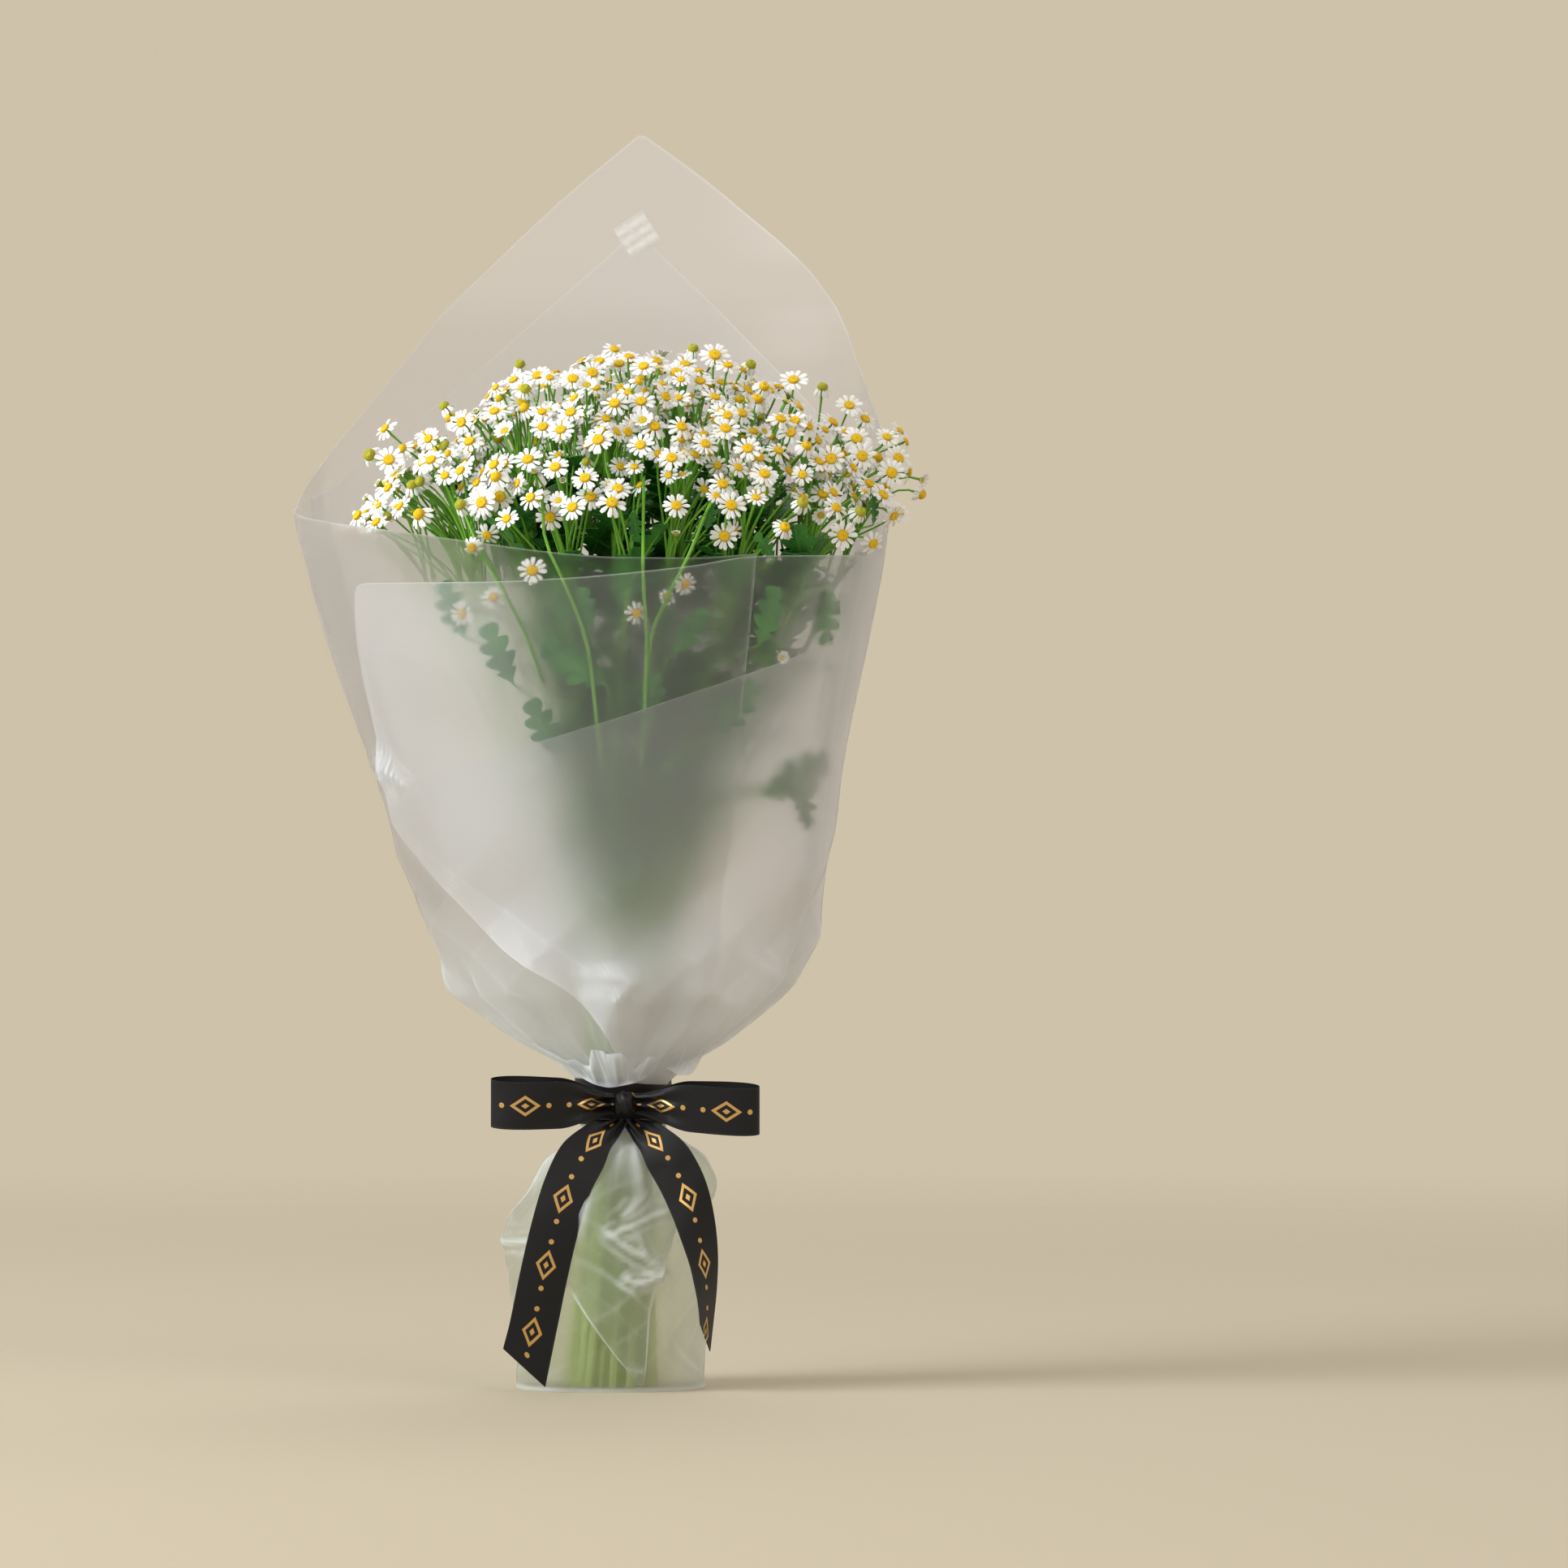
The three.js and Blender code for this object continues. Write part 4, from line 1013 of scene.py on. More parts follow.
# Stalks that show as pale lines just behind the film, each as its points' x, y and height from the top down.
NAMED_STALKS = [
    [(-36, -80, 470), (-35, -84, 450), (-23, -92, 417), (-15, -92, 390), (-11, -90, 351), (-8, -72, 325)],
    [(11, -72, 480), (11, -84, 455), (11, -92, 430), (13, -92, 396), (12, -88, 361), (10, -70, 330)],
    [(46, -70, 478), (38, -80, 455), (31, -88, 436), (22, -92, 415), (15, -92, 396), (12, -80, 370)],
    [(-76, -56, 470), (-66, -70, 444), (-54, -80, 420), (-44, -84, 398), (-36, -76, 372)],
]


def facing_of(right, up):
    """A direction from its angles to the right of the front and up, in degrees."""
    turn, rise = math.radians(right), math.radians(up)
    return np.array([math.sin(turn) * math.cos(rise), -math.cos(turn) * math.cos(rise), math.sin(rise)])


def stray_heads():
    heads = []
    for i, (x, y, z, right, up, scale, kind) in enumerate(STRAYS):
        seat = nearest_seat(DOME["shift"] + (x - DOME["shift"]) * 0.86, y * 0.86)
        centre, facing = np.array([x, y, z], float), facing_of(right, up)
        if z < WITHIN_FILM:
            centre = tucked(centre, lambda at: rim_of(at, facing, SHOWN_HEAD * scale))
        heads.append({
            "centre": centre, "facing": facing, "seat": seat,
            "root": on_stem(seat, min(STEM_TOPS[seat] - 3, z - 40)), "spin": i, "scale": scale, "kind": kind,
        })
    return heads


def extra_heads(heads):
    """Smaller heads that fill the dome between and below the others."""
    random = random_from(EXTRA_SEED)
    centres = np.array([head["centre"] for head in heads])
    extra = []
    for _ in range(MOST_THROWS):
        if len(extra) == EXTRA["heads"]:
            break
        head = head_at(random, EXTRA["depth"])
        tilt = EXTRA["tilt"]
        push = (between(-tilt, tilt, random), between(-tilt, tilt, random), between(-0.3, 0.3, random))
        head["facing"] = unit(head["facing"] + push)
        drop = between(*EXTRA["drop"], random)
        head["root"] = on_stem(head["seat"], min(STEM_TOPS[head["seat"]] - 2, head["centre"][2] - drop))
        if head["centre"][2] < EXTRA["lowest"] or not clear_of_film(head["centre"], *EXTRA["room"]):
            continue
        if np.min(np.linalg.norm(centres - head["centre"], axis=1)) < EXTRA["apart"]:
            continue
        centres = np.vstack([centres, head["centre"]])
        extra.append(head)
    return extra


# ---- flower, leaf and bud, each modelled once ----
# Shares of a petal's half-width, but for the place of its widest part along it, and the tip's drop in mm.
PETAL = {"thin": 0.22, "widest_at": 0.68, "root": 0.45, "tip": 0.62, "tip_drop": -0.4}
TRIANGLE_HALF_SIDE = 0.866  # of a triangle in a circle of radius 1
CALYX = {"foot": 0.75, "depth": 1.7, "share": 0.92}
DISC = {"cut": 0.15, "dimple": 0.28}


def model_petals(count, length, half_width, root, lift, jitter, random):
    """A ring of blunt petals. Each is a thin three-sided blade that widens past its middle."""
    bpy.ops.mesh.primitive_cylinder_add(
        vertices=3, radius=1 * MM, depth=length * MM, location=((root + length / 2) * MM, 0, 0),
        rotation=(math.pi / 2, 0, math.pi / 2),
    )
    petals = bpy.context.object
    own_place(petals)
    bpy.ops.object.mode_set(mode="EDIT")
    bpy.ops.mesh.select_all(action="SELECT")
    bpy.ops.transform.resize(value=(1, half_width / TRIANGLE_HALF_SIDE, PETAL["thin"]))
    bpy.ops.mesh.bisect(plane_co=((root + length * PETAL["widest_at"]) * MM, 0, 0), plane_no=(1, 0, 0))
    for place, width, drop in ((0, PETAL["root"], 0.0), (length, PETAL["tip"], PETAL["tip_drop"])):
        at = (root + place) * MM
        select_vertices(petals, lambda co, at=at: abs(co.x - at) < 0.2 * MM)
        bpy.ops.transform.resize(value=(1, width, 1))
        bpy.ops.transform.translate(value=(0, 0, drop * MM))
    bpy.ops.object.mode_set(mode="OBJECT")
    paint_uv(petals, lambda co: ((co.x / MM - root) / length, 0.5 + co.y / (2 * half_width * MM)))
    bpy.ops.object.mode_set(mode="EDIT")
    bpy.ops.mesh.select_all(action="SELECT")
    bpy.ops.mesh.spin(
        steps=count - 1, dupli=True, angle=2 * math.pi * (count - 1) / count, center=(0, 0, 0),
        axis=(0, 0, 1),
    )
    bpy.ops.object.mode_set(mode="OBJECT")
    loosen(petals, count, root, lift, jitter, random)
    return petals


def loosen(petals, count, root, lift, jitter, random):
    """Lifts each petal about its root, each a little differently."""
    chances = [
        (lift + between(-1, 1, random) * jitter, between(-0.09, 0.09, random), between(0.9, 1.06, random))
        for _ in range(count)
    ]
    for vertex in petals.data.vertices:
        around = math.atan2(vertex.co.y, vertex.co.x)
        petal = round(around * count / (2 * math.pi)) % count
        degrees, swing, stretch = chances[petal]
        middle = petal * 2 * math.pi / count
        hinge = Vector((root * MM * 0.8 * math.cos(middle), root * MM * 0.8 * math.sin(middle), 0))
        side = Vector((math.sin(middle), -math.cos(middle), 0))
        turned = Matrix.Rotation(math.radians(degrees), 3, side) @ ((vertex.co - hinge) * stretch)
        vertex.co = Matrix.Rotation(swing, 3, "Z") @ (hinge + turned)


def model_disc(radius, height, age):
    """The domed middle of a head, with a shallow dimple."""
    bpy.ops.mesh.primitive_uv_sphere_add(segments=10, ring_count=6, radius=radius * MM)
    disc = bpy.context.object
    bpy.ops.object.mode_set(mode="EDIT")
    bpy.ops.mesh.select_all(action="SELECT")
    bpy.ops.mesh.bisect(
        plane_co=(0, 0, -DISC["cut"] * radius * MM), plane_no=(0, 0, 1), clear_inner=True, use_fill=True,
    )
    bpy.ops.mesh.select_all(action="SELECT")
    bpy.ops.transform.resize(value=(1, 1, height / radius))
    select_vertices(disc, lambda co: co.z > (height - 0.05) * MM)
    bpy.ops.transform.translate(value=(0, 0, -DISC["dimple"] * height * MM))
    bpy.ops.object.mode_set(mode="OBJECT")
    paint_uv(disc, lambda co: (math.hypot(co.x, co.y) / (radius * MM), age))
    return disc


def model_calyx(radius, depth):
    """The green cup under a head."""
    bpy.ops.mesh.primitive_cone_add(
        vertices=8, radius1=CALYX["foot"] * MM, radius2=radius * MM, depth=depth * MM,
        location=(0, 0, -depth / 2 * MM),
    )
    calyx = bpy.context.object
    own_place(calyx)
    paint_uv(calyx, lambda co: (0, 0))
    return calyx


def set_faces(thing, slot, finishes):
    """Gives a part of a template one of the spray's material slots."""
    for finish in finishes:
        thing.data.materials.append(finish)
    thing.data.polygons.foreach_set("material_index", [slot] * len(thing.data.polygons))


SPRAY_SMOOTH = 50
STEM_SLOT, LEAF_SLOT, PETAL_SLOT, DISC_SLOT = range(4)
# name: petals, petal length, half-width, lift in degrees, jitter, disc radius, disc height, age from 0 to 1
HEAD_KINDS = {
    "open": (12, 5.2, 1.28, 6, 8, 3.1, 1.8, 0.9),
    "full": (14, 5.2, 1.15, -2, 9, 3.2, 2.0, 1.0),
    "sparse": (10, 5.3, 1.34, -12, 13, 3.1, 2.1, 0.85),
    "bent_back": (12, 4.9, 1.2, -38, 14, 3.3, 2.8, 1.0),
    "half_open": (12, 4.5, 1.3, 40, 9, 2.6, 1.5, 0.5),
    "faded": (10, 4.6, 1.25, -55, 12, 3.4, 3.0, 0.3),
    "bud": (8, 1.7, 0.85, 66, 6, 2.0, 1.8, 0.1),
}


def model_head(name, finishes, seed):
    count, length, half_width, lift, jitter, disc_radius, disc_height, age = HEAD_KINDS[name]
    random = random_from(seed)
    deselect_all()
    root = disc_radius - 0.5
    petals = model_petals(count, length, half_width, root, lift, jitter, random)
    set_faces(petals, PETAL_SLOT, finishes)
    disc = model_disc(disc_radius, disc_height, age)
    set_faces(disc, DISC_SLOT, finishes)
    calyx = model_calyx(disc_radius * CALYX["share"], CALYX["depth"])
    set_faces(calyx, STEM_SLOT, finishes)
    head = joined("head_" + name, [petals, disc, calyx])
    smooth(SPRAY_SMOOTH)
    return head


LEAF = {"length": 40, "half_width": 11, "lobes": 4, "stations": 16, "thick": 0.35, "arch": 0.16}


def model_leaf(finishes):
    """A lobed leaf along +X, arched, with its blade folded a little along the rib."""
    deselect_all()
    bpy.ops.mesh.primitive_grid_add(x_subdivisions=LEAF["stations"], y_subdivisions=2, size=1)
    leaf = bpy.context.object
    for vertex in leaf.data.vertices:
        share, side = vertex.co.x + 0.5, round(vertex.co.y * 2)
        vertex.co = leaf_point(share, side)
    paint_uv(leaf, lambda co: (co.x / (LEAF["length"] * MM), 0.5 + co.y / (2 * LEAF["half_width"] * MM)))
    set_faces(leaf, LEAF_SLOT, finishes)
    thicken(leaf, LEAF["thick"], -1.0, SPRAY_SMOOTH)
    return leaf


def leaf_point(share, side):
    """A vertex of the leaf's grid: side is -1, 0 or 1, and lobes cut deep into both sides."""
    envelope = math.sin(math.pi * min(1, share * 0.86 + 0.1)) ** 0.7
    lobe = share * LEAF["lobes"] % 1
    depth = 0.32 + 0.68 * math.sin(math.pi * lobe) ** 0.8 if share < 0.97 else 0.2
    stalk = float(smoothstep(share, 0.0, 0.22))
    width = LEAF["half_width"] * (0.06 + 0.94 * envelope * depth * stalk)
    forward = 0.07 * abs(side) * math.sin(math.pi * lobe) * stalk
    x = LEAF["length"] * min(1, share + forward)
    z = 0.10 * width * abs(side) - LEAF["arch"] * LEAF["length"] * share**2
    return Vector((x, side * width, z)) * MM


def leaf_frame(forward, up):
    """A leaf's own three directions: along it, across it, and out of its face."""
    x = unit(np.array(forward, float))
    z = unit(np.array(up, float) - x * np.dot(x, up))
    return x, np.cross(z, x), z


LEAF_SPOTS = [
    leaf_point(share, side) / MM for share in (0.0, 0.3, 0.5, 0.7, 0.86, 1.0) for side in (LEFT, 0, RIGHT)
]


def leaf_spots(base, forward, up, size):
    """Points all over a leaf as it lies."""
    x, y, z = leaf_frame(forward, up)
    return np.array([base + size * (x * spot[0] + y * spot[1] + z * spot[2]) for spot in LEAF_SPOTS])


def film_share(x, y, z):
    """How far out a point is, as a share of the shown film's outline at its height."""
    centre, left, right, front, back = DRAPE_PROFILE.at(z)
    return math.hypot((x - centre) / (right if x > centre else left), y / (back if y > 0 else front))


LEAF_TILT = 0.08  # towards the film
INWARD = 0.8  # from a place at the film to the place of the spray that it grows from


def tucked_leaf(x, y, z, right, up, size):
    """A leaf that lies against the film from inside: its stem, its place, its two directions and its size."""
    here = film_share(x, y, z)
    out = unit(np.array([
        film_share(x + 1, y, z) - here, film_share(x, y + 1, z) - here, film_share(x, y, z + 1) - here,
    ]))
    forward = facing_of(right, up)
    forward = unit(forward - out * (np.dot(out, forward) - LEAF_TILT))
    base = tucked(np.array([x, y, z], float), lambda at: leaf_spots(at, forward, out, size))
    return nearest_seat(x * INWARD, y * INWARD), base, forward, out, size


def spread_copy(template, centre, forward, up, scale):
    """A copy of a template with its own mesh: local X goes to forward, and local Z near to up."""
    made = template.copy()
    made.data = template.data.copy()
    bpy.context.collection.objects.link(made)
    x = Vector(forward).normalized()
    z = (Vector(up) - x * x.dot(Vector(up))).normalized()
    y = z.cross(x)
    turn = Matrix((x, y, z)).transposed().to_4x4()
    made.matrix_world = Matrix.Translation(Vector(centre) * MM) @ turn @ Matrix.Scale(scale, 4)
    return made


# ---- stems ----
STEM_HEIGHTS = [STEM_FOOT, 30, 60, 90, 115, 130, 150, 170, 190, 210, 235, 262, 290, 320, 350, 385]
UPPER_STEM = (405, 5)  # where it starts, and its number of points
STALK_TAPER = ([0, 0.15, 0.85, 1], [1.0, 0.72, 0.55, 0.85])
LEAF_STALK = {"points": 7, "root": 0.8, "tip": 0.5, "drop": 34}
NAMED_STALK = {"points": 16, "top": 0.75, "foot": 1.15}


def tapered_path(curve, points, radii):
    """Adds a stem to a curve object as one spline of straight steps."""
    spline = curve.splines.new("POLY")
    spline.points.add(len(points) - 1)
    for target, point, radius in zip(spline.points, points, radii):
        target.co = (*(Vector(point) * MM), 1)
        target.radius = radius


def stalk_points(head, steps=9):
    """A stalk that leaves its stem upwards and meets the head from behind."""
    start = Vector(head["root"])
    facing = Vector(head["facing"])
    end = Vector(head["centre"]) - facing * 1.4 * head["scale"]
    reach = (end - start).length
    outward = (end - start) * 0.6
    rise = (Vector((0, 0, 1)) + Vector((outward.x, outward.y, 0)) / reach).normalized()
    first = start + rise * reach * (0.42 if facing.z > 0 else 0.62)
    last = end - facing * reach * 0.30
    points = []
    for i in range(steps):
        t = i / (steps - 1)
        points.append(
            start * (1 - t) ** 3 + first * 3 * t * (1 - t) ** 2 + last * 3 * t * t * (1 - t) + end * t**3
        )
    return points


def main_stem_points(i):
    start, count = UPPER_STEM
    raw = [on_stem(i, z) for z in (*STEM_HEIGHTS, *np.linspace(start, STEM_TOPS[i], count))]
    smooth = [raw[0]] + [(a + 2 * b + c) / 4 for a, b, c in zip(raw, raw[1:], raw[2:])] + [raw[-1]]
    return smooth, [look_up(STEM_RADIUS, point[2])[0] for point in smooth]


def model_stems(name, i, heads, named_leaves):
    """A spray's main stem, the stalk of each of its heads and the stalks of its named leaves, as one mesh."""
    curve = bpy.data.curves.new(name, "CURVE")
    curve.dimensions = "3D"
    curve.bevel_depth = 1 * MM
    curve.bevel_resolution = 1
    curve.use_fill_caps = True
    tapered_path(curve, *main_stem_points(i))
    for head in heads:
        points = stalk_points(head)
        radii = np.interp(np.linspace(0, 1, len(points)), *STALK_TAPER)
        tapered_path(curve, points, [radius * (0.75 + 0.25 * head["scale"]) for radius in radii])
    for _, end, *_ in named_leaves:
        start = on_stem(i, min(STEM_TOPS[i] - 3, end[2] - LEAF_STALK["drop"]))
        bend = np.array([*(start + end)[:2] / 2, end[2] - 6])
        steps = np.linspace(0, 1, LEAF_STALK["points"])
        path = [start * (1 - t) ** 2 + bend * 2 * t * (1 - t) + end * t * t for t in steps]
        tapered_path(curve, path, np.linspace(LEAF_STALK["root"], LEAF_STALK["tip"], len(path)))
    for row in NAMED_STALKS:
        if nearest_seat(row[2][0] * INWARD, row[2][1] * INWARD) == i:
            places = [tucked(np.array(at, float), lambda at: [at]) for at in row]
            path = Profile([(step, *place) for step, place in enumerate(places)])
            points = np.stack(path.at(np.linspace(0, len(row) - 1, NAMED_STALK["points"])), -1)
            tapered_path(curve, points, np.linspace(NAMED_STALK["top"], NAMED_STALK["foot"], len(points)))
    make_active(linked(name, curve))
    bpy.ops.object.convert(target="MESH")
    return bpy.context.object


# ---- sprays ----
# The share of heads up to and including each kind.
KIND_SHARES = {
    "open": 0.34, "full": 0.58, "sparse": 0.76, "bent_back": 0.86, "half_open": 0.93, "faded": 0.97, "bud": 1,
}


def kind_of(head, random):
    """Which template a head uses: its own if it is a named one, or a kind by chance."""
    chance = next(random)
    return head.get("kind") or next(kind for kind, share in KIND_SHARES.items() if chance < share)


# Leaves up a stem: between which heights the lowest is, how high they go within the bunch and at its front,
# at which tilts in radians each is tried, and how far apart they are low down and, above a height, higher up.
LEAFY = {
    "lowest": (250, 285), "inner_share": 0.72, "inner_top": 474, "front_top": 432, "sizes": (0.6, 1.1),
    "leans": (0.95, 0.6, 0.3, 0.12), "apart": (9, 17), "dense_above": 400, "dense_apart": (5, 9),
}
LEFTMOST_TIP = ([300, 445, 470, 490], [-20, -40, -66, -150])  # heights, and x at each


def leaves_of(i, leaf, random):
    """Leaves up a stem, each inside the film, from low on the cone to just under the flowers."""
    made = []
    z = between(*LEAFY["lowest"], random)
    inner = math.hypot(*SEATS[i]) < LEAFY["inner_share"] or SEATS[i][1] > 0
    top = min(STEM_TOPS[i] - 2, LEAFY["inner_top" if inner else "front_top"])
    turn = between(0, 2 * math.pi, random)
    while z < top:
        root = on_stem(i, z)
        turn += GOLDEN_ANGLE
        c, s = math.cos(turn), math.sin(turn)
        size = between(*LEAFY["sizes"], random) * (0.5 + 0.5 * float(smoothstep(z, 240, 340)))
        for lean in LEAFY["leans"]:
            along = np.array([c * math.sin(lean), s * math.sin(lean), math.cos(lean)])
            tip = root + along * LEAF["length"] * size
            up = np.array([-c, -s, 0.9])
            leftmost = np.interp(tip[2], *LEFTMOST_TIP) - between(0, 10, random)
            if in_outline(tip, 6) and tip[0] > leftmost and in_film(leaf_spots(root, along, up, size)):
                made.append(spread_copy(leaf, root, along, up, size))
                break
        z += between(*LEAFY["apart" if z < LEAFY["dense_above"] else "dense_apart"], random)
    return made


def in_outline(point, spare):
    """True where a point is within the bunch's outline at its height, or about spare outside it."""
    half_width, half_depth = look_up(BUNCH, point[2])
    across = (point[0] - bunch_shift(point[2])) / (half_width + spare)
    return math.hypot(across, point[1] / (half_depth + spare)) < 1


# ---- settings ----
class FlowerSettings(bpy.types.PropertyGroup):
    head_scale: FloatProperty(
        name="Head scale", description="Size of every flower head", default=1.0, min=0.5, max=1.3,
    )
    seed: IntProperty(name="Seed", description="Seed for the small differences between heads", default=5)


class FilmSettings(bpy.types.PropertyGroup):
    thickness: FloatProperty(
        name="Thickness", description="Thickness of the film", default=0.25 * MM, unit="LENGTH",
    )
    haze: FloatProperty(
        name="Haze", description="Milky share of the wrap", default=0.035, min=0, max=1, subtype="FACTOR",
    )


class RibbonSettings(bpy.types.PropertyGroup):
    thickness: FloatProperty(
        name="Thickness", description="Thickness of the ribbon", default=0.45 * MM, unit="LENGTH",
    )


class StageSettings(bpy.types.PropertyGroup):
    backdrop: FloatVectorProperty(
        name="Backdrop", description="Colour behind the bunch", default=(0.617, 0.539, 0.402),
        subtype="COLOR",
    )
    floor: FloatVectorProperty(
        name="Floor", description="Colour of the floor", default=(0.482, 0.427, 0.325), subtype="COLOR",
    )
    camera_distance: FloatProperty(
        name="Camera distance", description="From the camera to the bunch", default=4.3, unit="LENGTH",
    )


# ---- operators ----
HEAD_SIZES, EXTRA_SIZES = (0.88, 1.04), (0.62, 0.98)


class BUNCH_OT_sprays(bpy.types.Operator):
    """Model every spray: its main stem, stalks, leaves and flower heads"""

    bl_idname = "bunch.sprays"
    bl_label = "Daisy sprays"

    def execute(self, context):
        settings = context.scene.bunch_flowers
        random = random_from(settings.seed)
        finishes = [
            material("fresh_stem", stem_finish), material("leaf_blade", leaf_finish),
            material("white_petal", petal_finish), material("yellow_disc", disc_finish),
        ]
        templates = {
            name: model_head(name, finishes, TEMPLATE_SEED + i) for i, name in enumerate(HEAD_KINDS)
        }
        leaf = model_leaf(finishes)
        heads = solid_heads()
        if len(heads) != SOLID_HEADS:
            raise RuntimeError(f"{len(heads)} heads were placed in place of {SOLID_HEADS}")
        for head in heads:
            head["scale"] = between(*HEAD_SIZES, random)
        heads += stray_heads()
        named_leaves = [tucked_leaf(*row) for row in NAMED_LEAVES]
        extra = extra_heads(heads)
        for head in extra:
            head["scale"] = between(*EXTRA_SIZES, random)
        for i in range(SPRAYS):
            name = f"daisy_spray_{i + 1:02d}"
            own = [head for head in heads + extra if head["seat"] == i]
            own_leaves = [named for named in named_leaves if named[0] == i]
            parts = [model_stems(name, i, own, own_leaves)]
            for finish in finishes:
                parts[0].data.materials.append(finish)
            for head in own:
                kind = kind_of(head, random)
                spin = head["spin"]
                side = np.cross(head["facing"], (math.cos(spin), math.sin(spin), 0.31))
                scale = head["scale"] * settings.head_scale
                parts.append(spread_copy(templates[kind], head["centre"], side, head["facing"], scale))
            for _, base, forward, up, size in own_leaves:
                parts.append(spread_copy(leaf, base, forward, up, size))
            parts += leaves_of(i, leaf, random)
            spray = joined(name, parts)
            smooth(SPRAY_SMOOTH)
            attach(spray, "root")
            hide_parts(f"spray_{i + 1:02d}")
        for template in (*templates.values(), leaf):
            bpy.data.objects.remove(template)
        return {"FINISHED"}


FILM_STEP = 1.5  # degrees between the columns of a film sheet
RIM_DEGREES, RIM_SHARE, RIM_CREASE = 0.4, 0.004, 0.55  # a cut edge's width, and how white it is


def film_sheet(name, start, end, layer, top, bottom, rows, lift):
    """A sheet of the wrap from one angle to another. top and bottom give its edges' heights at each angle.
    Its edges are whiter in a narrow line, as a cut edge is."""
    angle = np.arange(start, end + FILM_STEP / 2, FILM_STEP)
    angle = np.sort(np.append(angle, [start + RIM_DEGREES, end - RIM_DEGREES]))
    low, high = bottom(angle), top(angle)
    share = np.linspace(0, 1, rows)
    share = np.sort(np.append(0.6 * share + 0.4 * share**2, [RIM_SHARE, 1 - RIM_SHARE]))[:, None]
    z = low + (high - low) * share
    angles = np.broadcast_to(angle, z.shape)
    offset = (layer * LAYER + lift) * (1 - 0.45 * smoothstep(z, 200, 260)) + 0.12
    points = outline(DRAPE_PROFILE, wrap_folds, angles, z, offset)
    crease = crease_of(points)
    for line in (crease[0], crease[-1], crease[:, 0], crease[:, -1]):
        line[:] = np.maximum(line, RIM_CREASE)
    return grid_piece(name, points, crease=crease)


def edge_of(rows):
    profile = Profile(rows)
    return lambda angle: profile.at(angle)[0]


def peak_edge(left, right):
    sides = {LEFT: Profile(left), RIGHT: Profile(right)}

    def height(angle):
        share = np.cos(np.radians(angle))
        return np.where(share > 0, sides[RIGHT].at(np.abs(share))[0], sides[LEFT].at(np.abs(share))[0])

    return height


def back_edge(angle):
    peak = peak_edge(PEAK_LEFT, PEAK_RIGHT)(angle)
    front = edge_of(SHOWN_BACK_FRONT)(angle)
    return np.where(angle < 0, edge_of(SHOWN_RIGHT_RIM)(angle), np.where(angle > 180, front, peak))


def waist(angle):
    return np.full(np.shape(angle), float(WAIST_Z))


# piece, node, finish, first and last angle, layer, lift, rows, top edge, bottom edge, flat size and area in m
SHEETS = [
    ("film_back", "film_back_sheet", "creased_shaded_film", -28, 300, 1, 0, 150,
     back_edge, waist, (0.64, 0.60), 0.23),
    ("film_inner", "film_inner_sheet", "frosted_film", 15, 165, 0, -0.6, 90,
     peak_edge(INNER_LEFT, INNER_RIGHT), waist, (0.40, 0.48), 0.113),
    ("film_middle", "film_middle_sheet", "milky_film", 217, 345, 0, 0, 80,
     edge_of(SHOWN_MIDDLE_TOP), edge_of(SHOWN_MIDDLE_BOTTOM), (0.28, 0.26), 0.040),
    ("film_front", "film_front_sheet", "glossy_film", 195, 336, 2, 1.2, 110,
     edge_of(SHOWN_FRONT_TOP), edge_of(SHOWN_FRONT_BOTTOM), (0.34, 0.31), 0.063),
]


class BUNCH_OT_film(bpy.types.Operator):
    """Model the four sheets of frosted film round the bunch, and the front one's turned edge"""

    bl_idname = "bunch.film"
    bl_label = "Film wrap"

    def execute(self, context):
        settings = context.scene.bunch_film
        thickness = settings.thickness / MM
        for name, node, film, start, end, layer, lift, rows, top, bottom, flat, area in SHEETS:
            sheet = film_sheet(name, start, end, layer, top, bottom, rows, lift)
            thicken(sheet, thickness)
            dress(sheet, [film_material(film, settings.haze)], [node])
        edge = turned_edge()
        thicken(edge, thickness)
        dress(edge, [bpy.data.materials["frosted_film"]])
        return {"FINISHED"}


# The front sheet's edge where it hangs over the ribbon's top: angle, its height and its radius.
TURNED_EDGE = [
    (208, 170, 29.5), (216, 166, 28.2), (228, 163.2, 28), (245, 160.6, 28), (256, 159.8, 28.2),
    (270, 160.8, 28.2), (286, 162.6, 28.3), (300, 166.5, 28.6), (308, 170, 30), (314, 169.5, 34),
    (322, 166.2, 38.5), (328, 166.2, 41), (335, 171, 43.5), (342, 180, 46),
]
TURNED = {"columns_every": 0.9, "rows": 26, "top": 176, "least_height": 3, "above_film": 0.8, "bulge": 1.2}


def turned_edge():
    """The tongue and the flap of film that hang over the top of the ribbon at the front."""
    angle = np.arange(TURNED_EDGE[0][0], TURNED_EDGE[-1][0] + 0.1, TURNED["columns_every"])
    low, low_radius = Profile(TURNED_EDGE).at(angle)
    share = np.linspace(0, 1, TURNED["rows"])[:, None]
    high = TURNED["top"] + 5 * triangle(angle / 47) + 2.5 * triangle(angle / 19 + 0.3)
    z = low + (np.maximum(high, low + TURNED["least_height"]) - low) * share
    angles = np.broadcast_to(angle, z.shape)
    tops = np.broadcast_to(z[-1], z.shape)
    top = outline(DRAPE_PROFILE, wrap_folds, angles, tops, 3 * LAYER + TURNED["above_film"])
    turn = np.radians(angles)
    low_ring = np.stack([low_radius * np.cos(turn), low_radius * np.sin(turn), z], -1)
    bulge = TURNED["bulge"] * triangle(angles / 23) * share * (1 - share) * 4
    blend = smoothstep(share, 0.0, 1.15)[..., None] ** 0.9
    points = low_ring * (1 - blend) + top * blend
    points[..., 0] += bulge * np.cos(turn)
    points[..., 1] += bulge * np.sin(turn)
    points[..., 2] = z
    return grid_piece("film_turned_edge", points, crease=crease_of(points))


